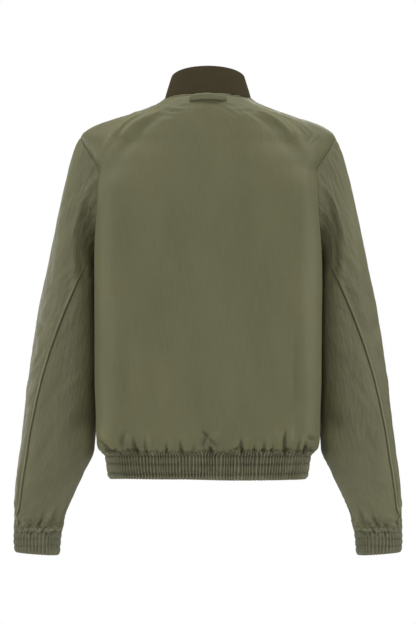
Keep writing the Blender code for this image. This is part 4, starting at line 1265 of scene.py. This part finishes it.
@dataclass
class Sleeves:
    """Each sleeve's top and under panels, split at the elbow seam and at the forearm seam."""

    top_columns: int = 122
    under_columns: int = 54
    head_rows: int = 46
    rows: int = 130
    cuff_rows: int = 36  # as many of them as are close together over the cuff
    cuff_rows_reach: float = 45.0
    elbow_at_armhole: float = -34.0
    forearm_at_armhole: float = -144.0
    elbow_bow: float = -16.0
    top_cut: Cut = Cut(0.30, 0.63, 0.112)
    under_cut: Cut = Cut(0.16, 0.50, 0.070)

    def seams(self, down: Array) -> tuple[Array, Array]:
        """Angles of the elbow seam and of the forearm seam at each row."""
        head = np.clip(-down, 0, 1)
        elbow = SLEEVE.column("elbow", np.maximum(down, 0))
        forearm = SLEEVE.column("forearm", np.maximum(down, 0))
        elbow = elbow + (self.elbow_at_armhole - elbow) * head + self.elbow_bow * 4 * head * (1 - head)
        return elbow, forearm + (self.forearm_at_armhole - forearm) * head

    def build(self) -> list[Grid]:
        """Makes the four panels and returns their outsides: top and under of the right, then of the left."""
        head = np.linspace(-1.0, 0.0, self.head_rows, endpoint=False)
        close = DOWN_CUFF - self.cuff_rows_reach
        upper = np.linspace(0.0, close, self.rows - self.cuff_rows, endpoint=False)
        down = np.concatenate([head, upper, np.linspace(close, DOWN_CUFF, self.cuff_rows)])[::-1]
        elbow, forearm = self.seams(down)
        gap_elbow = SLEEVE.angle_for(down, elbow, SEAM_GAP / 2)
        gap_forearm = SLEEVE.angle_for(down, forearm, SEAM_GAP / 2)
        top = ("top", elbow + gap_elbow, forearm + 360.0 - gap_forearm, self.top_columns, self.top_cut)
        under = ("under", forearm + gap_forearm, elbow - gap_elbow, self.under_columns, self.under_cut)
        height = np.where(down < 0, down * HEAD_LENGTH, down)
        made = []
        for sign, name in ((1, "right"), (-1, "left")):
            for panel, low, high, columns, cut in (top, under):
                share = np.linspace(0, 1, columns + 1)
                share = share - 0.085 * np.sin(2 * np.pi * share)
                angle = low[:, None] + (high - low)[:, None] * share
                grid = grid_on(SLEEVE, down, angle, columns // 2, -height)
                seed = 70 + 10 * (sign < 0) + (panel == "under")
                outer = self.dressed(grid, angle, height, panel, seed)
                outer = outer if sign > 0 else outer.mirrored()
                node = f"sleeve_{panel}_{name}"
                add_cloth(f"{panel}_sleeve_{name}", outer, PANEL_THICK, Dress.WORN_NYLON, node, cut)
                made.append(outer)
        return made

    def dressed(self, grid: Grid, angle: Array, height: Array, panel: str, seed: int) -> Grid:
        """Moves a panel's points out by its creases, crinkles and seams.

        Args:
            grid: the panel on the smooth form.
            angle: angle of each point.
            height: length of cloth from the sleeve's first ring down to each row.
            panel: "top" or "under".
            seed: which crinkles.

        Returns:
            The panel's outside.
        """
        along = np.broadcast_to(height[:, None], angle.shape)
        rise = crinkles(grid, seed, slant=0.35, wear_and_painted_shade=0.9)
        for turns in (-360.0, 0.0, 360.0):
            rise = rise + creased(SLEEVE_CREASES, (angle + turns) * ARC, along)
        warp = noise(angle, along, 24.0, 60.0, seed + 5) * 7.0
        pleats = np.cos(2 * np.pi * (angle + warp) / 11.5) - 1
        rise = rise + 1.1 * pleats * np.exp(-(((DOWN_CUFF - along) / 12.0) ** 1.5))
        rise = rise * ease((along + HEAD_LENGTH) / 14.0)
        ease_puckers = np.cos(2 * np.pi * (angle + noise(angle, 0.0, 17.0, 1.0, seed + 6) * 6.0) / 15.0)
        rise = rise + 0.35 * ease_puckers * ease((along + HEAD_LENGTH) / 6.0) * ease((-95.0 - along) / 40.0)
        elbow_side = SHARP_SEAM if panel == "top" else PLAIN_SEAM
        shown = 0.25 + 0.75 * ease((along + 60.0) / 90.0)
        from_elbow = grid.from_edge(at_end=panel == "under")
        rise += elbow_side.rise(from_elbow, along, 91) * shown
        # a painted highlight on the strip beside the elbow seam, and painted shade in the seam itself
        seam_painted_highlight = 0.34 * np.exp(-(((from_elbow - 3.6) / 1.9) ** 2)) if panel == "top" else 0.0
        elbow_seam_shading = seam_painted_highlight - 0.22 * np.exp(-((from_elbow / 1.3) ** 2))
        rise += PLAIN_SEAM.rise(grid.from_edge(at_end=panel == "top"), along, 92)
        rise += PLAIN_SEAM.rise(grid.from_row(at_top=True), angle, 93) * 1.2
        rise *= 1 - np.exp(-(((DOWN_CUFF - along) / 5.0) ** 2))
        rise += cuff_wrinkles(grid.points, DOWN_CUFF - along)
        # colour: painted highlight on ridges and painted shade in folds, with the elbow seam's painted light
        return grid.moved(rise, crease_shading(rise) + elbow_seam_shading * shown)


@dataclass
class GatheredBand:
    """A band of doubled cloth over wide elastic, sewn through in rows, so that it gathers between them."""

    form: Form
    seam: float  # the form's "along" at the band's seam
    height: float
    sense: float  # 1 where "along" grows from the band's edge to its seam, -1 where it falls
    gathers: int
    half_turn: float  # the band goes from minus this angle to plus it
    tab: float  # flat length at each end
    stitch_rows: tuple[float, ...]  # distances from the seam
    per_gather: int = 7
    rows: int = 30
    depth: float = 4.4
    puff: float = 1.1
    swell: float = 2.4  # how far its seam stands out
    wear_and_painted_shade: float = 1.0  # how strong its painted shading is: a painted highlight on its ridges and painted shade between them
    overall_darkening: float = 0.0  # how much darker its colour is, evenly away from its seam
    row_painted_shade: float = 0.36  # painted shade: how much darker it is in the pinched channels along its rows of stitches
    thick: float = 2.4
    edge_roll: float = 3.2  # how far the free edge turns in
    seed: int = 100
    cut: Cut = Cut(1.45, 0.046, held="gathered")

    @property
    def closed(self) -> bool:
        """Whether it goes all round."""
        return self.half_turn >= ALL_ROUND

    def outside(self) -> Grid:
        """The gathered outside.

        The gathers are a cosine of the length round the band, whose phase wanders and leans, pinched at
        the stitch rows and puffed out between them. The lowest few millimetres turn in to the edge.
        """
        low = np.linspace(self.height, 5.0, self.rows - 6)
        height = np.concatenate([low, np.linspace(4.2, SEAM_GAP, 6)])
        along = self.seam - self.sense * height
        columns = self.gathers * self.per_gather
        half = np.full(len(height), self.half_turn)
        turn = evenly(self.form, along, -half, half, columns)
        turn = turn[:, :-1] if self.closed else turn
        grid = grid_on(self.form, along, turn, turn.shape[1] // 2, -height)
        s = np.linspace(0, self.gathers, columns + 1)[: turn.shape[1]]
        down = height[:, None]
        lean = 1.2 * noise(s, 0.0, 5.0, 1.0, self.seed) * (9.0 - np.minimum(down, 9.0)) / 9.0
        wander = 0.42 * noise(s, 0.0, 3.1, 1.0, self.seed + 1)
        wander = wander + 0.16 * noise(s, down, 2.3, 9.0, self.seed + 2)
        wrap = ease(np.minimum(s, self.gathers - s) / 2.0) if self.closed else 1.0
        ridge = 0.5 + 0.5 * np.cos(2 * np.pi * (s + (lean + wander) * wrap))
        rows_near = np.min(np.abs(down - np.array(self.stitch_rows)[None, :]), axis=1)[:, None]
        channel = 1 - np.exp(-((rows_near / 1.7) ** 2))
        size = (0.8 + 0.32 * noise(s, down, 2.0, 12.0, self.seed + 3)) * (0.72 + 0.28 * channel)
        length = grid.from_edge(at_end=False)
        flat = 1.0
        if self.tab > 0:
            from_end = np.minimum(length, length[:, -1:] - length)
            flat = ease((from_end - self.tab + 4.0) / 6.0)
        rise = -self.depth * size * (1 - ridge**1.3) * flat + self.puff * (channel - 1)
        roll = ease((down - self.height + 6.0) / 6.0)
        rise = rise - self.edge_roll * roll**2
        rise = rise + 0.5 * noise(s, 0.0, 9.0, 1.0, self.seed + 4)
        rise = rise * ease((down + 0.4) / 1.5) + self.swell * np.exp(-((down / 4.5) ** 2))
        # painted highlight on the gathers' ridges, painted shade between them and along the rows of stitches,
        # and the wrinkles' painted light and shade
        wear = (0.32 * (ridge**1.3 - 0.45) - self.row_painted_shade * (1 - channel)) * flat
        wrinkles = cuff_wrinkles(grid.points, down) if self.closed else body_creases(grid.points, -down)
        fade = ease((down - 1.0) / 9.0) if self.closed else 1.0
        wear = wear * fade * self.wear_and_painted_shade + crease_shading(wrinkles) - self.overall_darkening * fade
        outer = grid.moved(rise * fade + wrinkles, wear)
        if self.closed:
            outer.normals[:, [0, -1]] = unit(outer.normals[:, :1] + outer.normals[:, -1:])
        outer.points[..., 2] += noise(s, 0.0, 17.0, 1.0, self.seed + 5) * 2.0 * roll
        return outer

    def add(self, outer: Grid, name: str, node: str) -> list[Line]:
        """Adds the band of this outside, and returns the lines of its rows of stitches."""
        add_cloth(name, outer, self.thick, Dress.GATHERED_NYLON, node, self.cut, self.closed)
        lines = [outer.row_line(distance, at_top=True) for distance in self.stitch_rows]
        return [line.closed() for line in lines] if self.closed else lines


@dataclass
class RibCollar:
    """The stand collar of rib knit, folded at its top edge."""

    ribs: int = 158
    per_rib: int = 6
    rows: int = 13
    edge_rows: int = 5
    tall: float = 44.0
    rib_depth: float = 0.42
    thick: float = 2.5
    half_slot: float = 4.6
    cut: Cut = Cut(0.40, 0.046)

    def build(self) -> None:
        """Makes the collar.

        Its section goes up the outside, over a half circle at the top and down the inside. Both faces
        have ribs, a rounded cosine of the length round the neck.
        """
        ends = ZIP_TURN - TORSO.angle_for(UP_NECK, ZIP_TURN, self.half_slot)
        columns = self.ribs * self.per_rib
        radius = self.thick / 2
        straight = np.linspace(-0.045, 1.0, self.rows)
        half = np.full(self.rows, ends)
        turn = evenly(COLLAR, straight, -half, half, columns)
        middle = grid_on(COLLAR, straight, turn, columns // 2, straight * self.tall)
        middle.points -= middle.normals * radius
        up = unit(np.gradient(middle.points, axis=0))
        ridge = 0.5 + 0.5 * np.cos(2 * np.pi * np.arange(columns + 1) / self.per_rib)
        ribbed = radius - self.rib_depth * (1 - ridge**0.7)
        sag = 0.35 * noise(middle.uv[..., 0] / MM, middle.uv[..., 1] / MM, 40.0, 24.0, 131)
        outside = middle.points + middle.normals * (ribbed + sag)[..., None]
        inside = middle.points - middle.normals * (ribbed - sag)[..., None]
        angle = np.radians(np.linspace(90.0, -90.0, self.edge_rows + 2)[1:-1])[:, None, None]
        out = np.sin(angle) * ribbed[:, None] + sag[-1][:, None]
        over = middle.points[-1] + middle.normals[-1] * out + up[-1] * np.cos(angle) * radius
        points = np.concatenate([outside, over, inside[::-1]])
        over_v = self.tall + 3.9 * np.linspace(0, 1, self.edge_rows)
        run_v = np.concatenate([straight * self.tall, over_v, self.tall + 4.0 + straight * self.tall])
        uv = np.stack(np.broadcast_arrays(middle.uv[:1, :, 0], run_v[:, None] * MM), axis=-1)
        place = np.arange(len(points) * (columns + 1)).reshape(len(points), columns + 1)
        loop = quads_of(np.concatenate([place, place[:1]]))
        quads = np.concatenate([loop, cap(place[:, 0], True), cap(place[:, columns], False)])
        piece = add_mesh("rib_collar", points.reshape(-1, 3), quads, uv.reshape(-1, 2), Dress.KNIT)
        seat(piece, Dress.KNIT, "collar")
        self.cut.declare(piece)


@dataclass
class LockerLoop:
    """The plain tape loop under the collar, by which the jacket can be hung up."""

    length: float = 56.0
    width: float = 8.0
    thick: float = 1.2
    bow: float = 2.4
    up: float = 600.0
    lift: float = 1.1  # over the back panel's creases
    cut: Cut = Cut(0.062, 0.010, 0.0005, held="stretched")  # 62 mm of an 8 mm tape

    def build(self) -> Grid:
        """Makes the loop: flat at its sewn ends and standing off the back between them."""
        climb = np.linalg.norm(TORSO.point(self.up, 0.0) - TORSO.point(self.up - 1.0, 0.0))
        up = self.up - self.width / climb * np.linspace(1, 0, 9)
        half = TORSO.angle_for(up, np.zeros_like(up), self.length / 2)
        share = np.linspace(-1, 1, 61)
        turn = half[:, None] * share
        grid = grid_on(TORSO, up, turn, 30, up)
        rim = np.abs(np.linspace(-1, 1, 9))[:, None] ** 4
        rise = self.lift + self.thick + self.bow * (1 - share**2) ** 2 - 0.35 * rim
        outer = grid.moved(rise)
        add_cloth("locker_loop", outer, self.thick, Dress.TAPE, "neck_loop", self.cut)
        return outer


def rounded(count: int, square: float, turned: float = 0.0) -> tuple[Array, Array]:
    """Points all round a superellipse of half size 1."""
    angle = np.radians(np.arange(count) * (360.0 / count) + turned)
    return superellipse(np.cos(angle), np.sin(angle), square)


def in_frame(frame: Sequence[Array], x: Array, y: Array, z: Array) -> Array:
    """Points at distances along a frame's three directions from its middle."""
    middle, side, down, out = frame
    return middle + x[..., None] * side + y[..., None] * down + z[..., None] * out


def closed_tube(points: Array, flip: bool = False) -> tuple[Array, Array]:
    """Points and faces of a tube through rings of points, closed at both ends."""
    number = np.arange(points[..., 0].size).reshape(points.shape[:2])
    quads = [quads_of(around(number), flip), cap(number[0], flip), cap(number[-1], not flip)]
    return points.reshape(-1, 3), np.concatenate(quads)


@dataclass
class ClosedZip:
    """The closed zip: two tapes behind the fronts, the chain of teeth, the slider and its pull."""

    half_tape: float = 16.0
    tape_thick: float = 0.9
    tooth_pitch: float = 2.6
    tooth_length: float = 3.7
    tooth_high: float = 1.15
    tooth_thick: float = 1.9
    proud: float = 0.8
    slider_below_neck: float = 9.0
    slider_length: float = 11.0
    tape_cut: Cut = Cut(0.016, 0.60)

    def __post_init__(self) -> None:
        """Works out the centre front's run of cloth from the neck seam, and the slider's place on it."""
        self.front = np.linspace(UP_NECK, -HEM_HEIGHT, 2001)
        self.front_run = run_along(TORSO.point(self.front, ZIP_TURN))
        up = self.front_up(np.array(self.slider_below_neck))
        out = TORSO.normal(up, np.array(ZIP_TURN), 0.05)
        side = np.array([1.0, 0.0, 0.0])
        self.slider = (TORSO.point(up, np.array(ZIP_TURN)), side, np.cross(out, side), out)

    def front_up(self, below: Array) -> Array:
        """Height "up" of the points of the centre front that are lengths of cloth below the neck seam."""
        return np.interp(below, self.front_run, self.front)

    def build(self) -> None:
        """Makes the tapes, the chain, the slider and the pull."""
        self.build_tapes()
        self.build_chain()
        self.build_slider()
        self.build_pull()

    def build_tapes(self) -> None:
        """The tapes, behind the fronts and, below them, behind the hem band."""
        low = np.linspace(-HEM_HEIGHT, 0.0, 14, endpoint=False)
        up = np.concatenate([low, np.linspace(0.0, UP_NECK, 150)])
        depth = 1.9 + 1.3 * ease((3.0 - up) / 3.0)
        for name, sign in (("right", 1.0), ("left", -1.0)):
            places = np.linspace(0.15, self.half_tape, 11)[::-1]
            turn = ZIP_TURN - TORSO.angle_for(up, np.full_like(up, ZIP_TURN), 1.0)[:, None] * places
            grid = grid_on(TORSO, up, turn, 10, up)
            cord = 0.35 * np.exp(-(((places - 2.4) / 0.9) ** 2))
            outer = grid.moved(np.broadcast_to(cord, turn.shape) - depth[:, None])
            outer = outer if sign > 0 else outer.mirrored()
            cut = replace(self.tape_cut, rests_on=f"front_panel_{name}")
            add_cloth(f"zip_tape_woven_{name}", outer, self.tape_thick, Dress.TAPE, f"zip_tape_{name}", cut)

    def build_chain(self) -> None:
        """The teeth of both tapes in mesh.

        A tooth is a rounded block: a superellipse in the zip's plane through four levels of its
        thickness, narrower at the top and bottom. The teeth of the two tapes take turns.
        """
        top = self.slider_below_neck + self.slider_length / 2 + 1.0
        up = self.front_up(np.arange(top, self.front_run[-1] - 4.0, self.tooth_pitch / 2))
        middle, out = TORSO.point(up, ZIP_TURN), TORSO.normal(up, np.full_like(up, ZIP_TURN))
        side = np.broadcast_to([1.0, 0.0, 0.0], middle.shape)
        down = np.cross(out, side)
        sign = np.where(np.arange(len(up)) % 2 == 0, 1.0, -1.0)[:, None]
        middle = middle + side * sign * 0.85 + out * (self.proud - self.tooth_thick / 2)
        level = np.array([-1.0, -0.6, 0.6, 1.0])
        narrow = np.array([0.72, 1.0, 1.0, 0.72])
        across, lengthwise = rounded(10, 3.2)
        waist = 1 - 0.25 * np.exp(-(((across + 0.15) / 0.4) ** 2))
        x = (across * self.tooth_length / 2)[None, :] * narrow[:, None]
        y = (lengthwise * self.tooth_high * waist)[None, :] * narrow[:, None]
        z = np.broadcast_to((level * self.tooth_thick / 2)[:, None], x.shape)
        frame = [row[:, None, None] for row in (middle, -sign * side, down, out)]
        points = in_frame(frame, x, y, z)
        number = np.arange(points[..., 0].size).reshape(points.shape[:3])
        quads = quads_of(around(number))
        turned = (sign[:, 0] < 0).repeat(number[0, 1:].size)
        quads[~turned] = quads[~turned][:, ::-1]
        ends = []
        for end, forward in ((0, True), (-1, False)):
            ring = number[:, end]
            for k in range(4):
                corners = np.stack([ring[:, k], ring[:, k + 1], ring[:, 8 - k], ring[:, 9 - k]], axis=1)
                faces = np.where((sign < 0) == forward, corners[:, ::-1], corners)
                ends.append(faces)
        teeth = (points.reshape(-1, 3), np.concatenate([quads, *ends]))
        add_solid("zip_chain", [teeth], Dress.BRASS, "zip_teeth")

    def pillow(self, half_side: Array, half_down: float, low: float, high: float) -> tuple[Array, Array]:
        """Points and faces of a rounded block on the slider.

        Args:
            half_side: its half width at each of its levels along the zip, from the top one down.
            half_down: its half length along the zip.
            low: its lowest height over the fronts.
            high: its highest height.

        Returns:
            A closed grid: superellipse sections across the zip, smaller at both ends.
        """
        across, height = rounded(20, 4.0)
        share = np.linspace(-1, 1, len(half_side))
        shrink = (1 - np.abs(share) ** 6) ** 0.5 * 0.9 + 0.1
        x = across * (half_side * shrink)[:, None]
        z = (low + high) / 2 + height * ((high - low) / 2 * shrink)[:, None]
        y = np.broadcast_to((share * half_down)[:, None], x.shape)
        return closed_tube(in_frame(self.slider, x, y, z), flip=True)

    def build_slider(self) -> None:
        """The slider: a body with two shoulders, a crown that the chain runs through, and the bridge."""
        share = np.linspace(-1, 1, 15)
        body = 4.6 - 1.1 * ease((share + 0.2) / 1.2)
        parts = [self.pillow(body, self.slider_length / 2, 0.75, 2.6)]
        parts.append(self.pillow(np.full(9, 2.7), 4.6, -1.2, 1.2))
        bow = np.radians(np.linspace(0, 180, 17))
        path = np.stack([3.0 * np.cos(bow), 2.2 + 3.0 * np.sin(bow) ** 0.6], axis=1)
        across, thick = rounded(12, 2.6)
        ahead = unit(np.gradient(path, axis=0))
        y, z = path[:, :1] + ahead[:, 1:] * thick * 0.45, path[:, 1:] - ahead[:, :1] * thick * 0.45
        parts.append(closed_tube(in_frame(self.slider, np.broadcast_to(across, y.shape), y, z)))
        add_solid("zip_slider_body", parts, Dress.BRASS, "zip_slider")

    def build_pull(self) -> None:
        """The pull: a flat tab with an eye, whose edges are rounded all round.

        It is a ring: a rounded section carried round the tab, between its outline and its eye.
        """
        axis_out, thick = 3.75, 1.1
        across, lengthwise = rounded(32, 5.0, 5.6)
        rim = np.stack([across * 3.3, 11.2 + lengthwise * 11.75], axis=1)
        rim[:, 0] *= 1 - 0.12 * ease((rim[:, 1] - 6.0) / 8.0) + 0.12 * ease((rim[:, 1] - 16.0) / 6.0)
        across, lengthwise = rounded(32, 3.0, 5.6)
        eye = np.stack([across * 2.0, 2.9 + lengthwise * 2.3], axis=1)
        section = [(rim, 0.12, -0.5), (rim, 0.0, -0.22), (rim, 0.0, 0.22), (rim, 0.12, 0.5)]
        section += [(rim, 0.3, 0.5), (eye, 0.3, 0.5), (eye, 0.12, 0.5), (eye, 0.0, 0.22)]
        section += [(eye, 0.0, -0.22), (eye, 0.12, -0.5), (eye, 0.3, -0.5), (rim, 0.3, -0.5)]
        rings = []
        for outline, inset, height in section:
            away = unit(outline - outline.mean(axis=0))
            flat = outline - away * inset * (1 if outline is rim else -1)
            height = np.full(len(flat), axis_out + height * thick)
            rings.append(in_frame(self.slider, flat[:, 0], flat[:, 1], height))
        points = np.stack(rings)
        number = np.arange(points[..., 0].size).reshape(points.shape[:2])
        quads = quads_of(around(np.concatenate([number, number[:1]])))
        add_solid("pull_tab_plate", [(points.reshape(-1, 3), quads)], Dress.BRASS, "zip_pull", body=PULL_BODY)


# ---- Studio ----
@dataclass
class Studio:
    """The pale floor, the soft lights and the camera."""

    distance: float = 4.0  # metres from the camera to the jacket
    aim: float = -0.3286  # height of the camera, in metres
    seen_height: float = 0.9672  # what the picture's height covers at the jacket
    floor: float = -1.42  # a shoulder's height under the neck
    floor_radius: float = 1.3
    ambient: float = 0.25
    lights: tuple = (  # name, place and size in metres, and power in watts
        ("top", (0.0, 0.1, 2.6), 2.0, 36.0),
        ("top_left", (-1.8, -0.3, 1.9), 1.4, 29.0),
        ("top_right", (1.8, -0.3, 1.9), 1.4, 30.0),
        ("key", (-0.5, -3.3, 0.7), 0.9, 20.5),
        ("low", (0.7, -3.0, -1.1), 1.2, 12.0),
        ("side_left", (-3.0, -1.2, -0.3), 1.0, 31.0),
        ("side_right", (3.0, -1.2, -0.3), 1.0, 34.0),
        ("front", (0.6, 3.4, 1.2), 2.0, 42.0),
        ("front_low", (-2.4, 2.4, -0.2), 1.2, 22.0),
    )

    def add_light(self, name: str, place: tuple[float, float, float], size: float, power: float) -> None:
        """A square soft light, turned to the jacket's middle."""
        data = bpy.data.lights.new(name, "AREA")
        data.shape = "SQUARE"
        data.size = size
        data.energy = power
        light = bpy.data.objects.new(name, data)
        light.location = place
        away = np.array(place) - np.array([0.0, 0.0, self.aim])
        flat = np.hypot(away[0], away[1])
        light.rotation_euler = (np.arctan2(flat, away[2]), 0.0, np.arctan2(away[0], -away[1]))
        bpy.context.scene.collection.objects.link(light)

    def white_room(self) -> bpy.types.World:
        """A room that is white to look at, and whose light is the softer grey of its walls."""
        world = bpy.data.worlds.new("studio")
        world.use_nodes = True
        tree = world.node_tree
        white = {"Color": (1.0, 1.0, 1.0, 1.0)}
        walls = set_up(tree, tree.nodes["Background"], {**white, "Strength": self.ambient}, {})
        seen = add_node(tree, "ShaderNodeBackground", {"Strength": 1.0, **white})
        rays = add_node(tree, "ShaderNodeLightPath").outputs["Is Camera Ray"]
        either = {0: rays, 1: walls.outputs["Background"], 2: seen.outputs["Background"]}
        both = add_node(tree, "ShaderNodeMixShader", {}, either)
        set_up(tree, tree.nodes["World Output"], {}, {"Surface": both.outputs["Shader"]})
        return world

    def build(self) -> None:
        """Makes the stage."""
        scene = bpy.context.scene
        scene.view_settings.view_transform = "Standard"
        scene.world = self.white_room()
        mesh = bpy.data.meshes.new("floor")
        angle = np.radians(np.arange(96) * 3.75)
        rim = np.stack([np.cos(angle), np.sin(angle), angle * 0 + self.floor], axis=1)
        rim[:, :2] *= self.floor_radius
        mesh.from_pydata(rim.tolist(), [], [tuple(range(len(rim)))])
        mesh.materials.append(material_of(Dress.PAPER))
        floor = bpy.data.objects.new("floor", mesh)
        scene.collection.objects.link(floor)
        for light in self.lights:
            self.add_light(*light)
        data = bpy.data.cameras.new("camera")
        data.lens = data.sensor_width * self.distance / self.seen_height
        camera = bpy.data.objects.new("camera", data)
        camera.location = (0.0, -self.distance, self.aim)
        camera.rotation_euler = (np.pi / 2, 0.0, 0.0)
        scene.collection.objects.link(camera)
        scene.camera = camera


def main() -> None:
    """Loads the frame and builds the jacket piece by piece."""
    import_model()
    back = BackPanel().build()
    fronts = FrontPanels().build()
    sleeves = Sleeves().build()
    slot = float(TORSO.angle_for(-20.0, ZIP_TURN, HALF_SLOT))
    hem = GatheredBand(TORSO, 0.0, HEM_HEIGHT, 1.0, 188, ZIP_TURN - slot, 26.0, (9.4, 20.4, 35.0))
    hem_lines = hem.add(hem.outside(), "waist_band", "hem_band")
    cuff = GatheredBand(
        SLEEVE, DOWN_CUFF, CUFF_HEIGHT, -1.0, 44, ALL_ROUND, 0.0, (9.5, 20.5, 32.0),
        swell=0.0, wear_and_painted_shade=0.6, overall_darkening=0.12, row_painted_shade=0.14, depth=2.4, edge_roll=1.6, seed=140,
        cut=Cut(0.32, 0.046, held="gathered"),
    )
    outer = cuff.outside()
    cuff_lines = cuff.add(outer, "cuff_band_right", "cuff_right")
    cuff_lines += cuff.add(outer.mirrored(), "cuff_band_left", "cuff_left")
    RibCollar().build()
    loop = LockerLoop().build()
    ClosedZip().build()
    Stitching(hem_lines).add("stitches_waist_band")
    Stitching(cuff_lines).add("stitches_cuffs")
    elbow = [sleeves[k].edge_line(inset, at_end=k == 2) for k in (0, 2) for inset in ELBOW_STITCHES]
    Stitching(elbow).add("stitches_elbow_seams")
    Stitching([panel.row_line(NECK_STITCH, at_top=True) for panel in (back, *fronts)]).add("stitches_neck")
    zip_lines = [front.edge_line(ZIP_STITCH, at_end=k == 0) for k, front in enumerate(fronts)]
    Stitching(zip_lines).add("stitches_zip")
    loop_ends = [loop.edge_line(inset, at_end) for at_end in (False, True) for inset in LOOP_STITCHES]
    Stitching(loop_ends, pitch=2.2, length=1.6, radius=0.25).add("stitches_locker_loop")
    Studio().build()


if __name__ == "__main__":
    logging.basicConfig(level=logging.INFO, format="%(message)s")
    main()
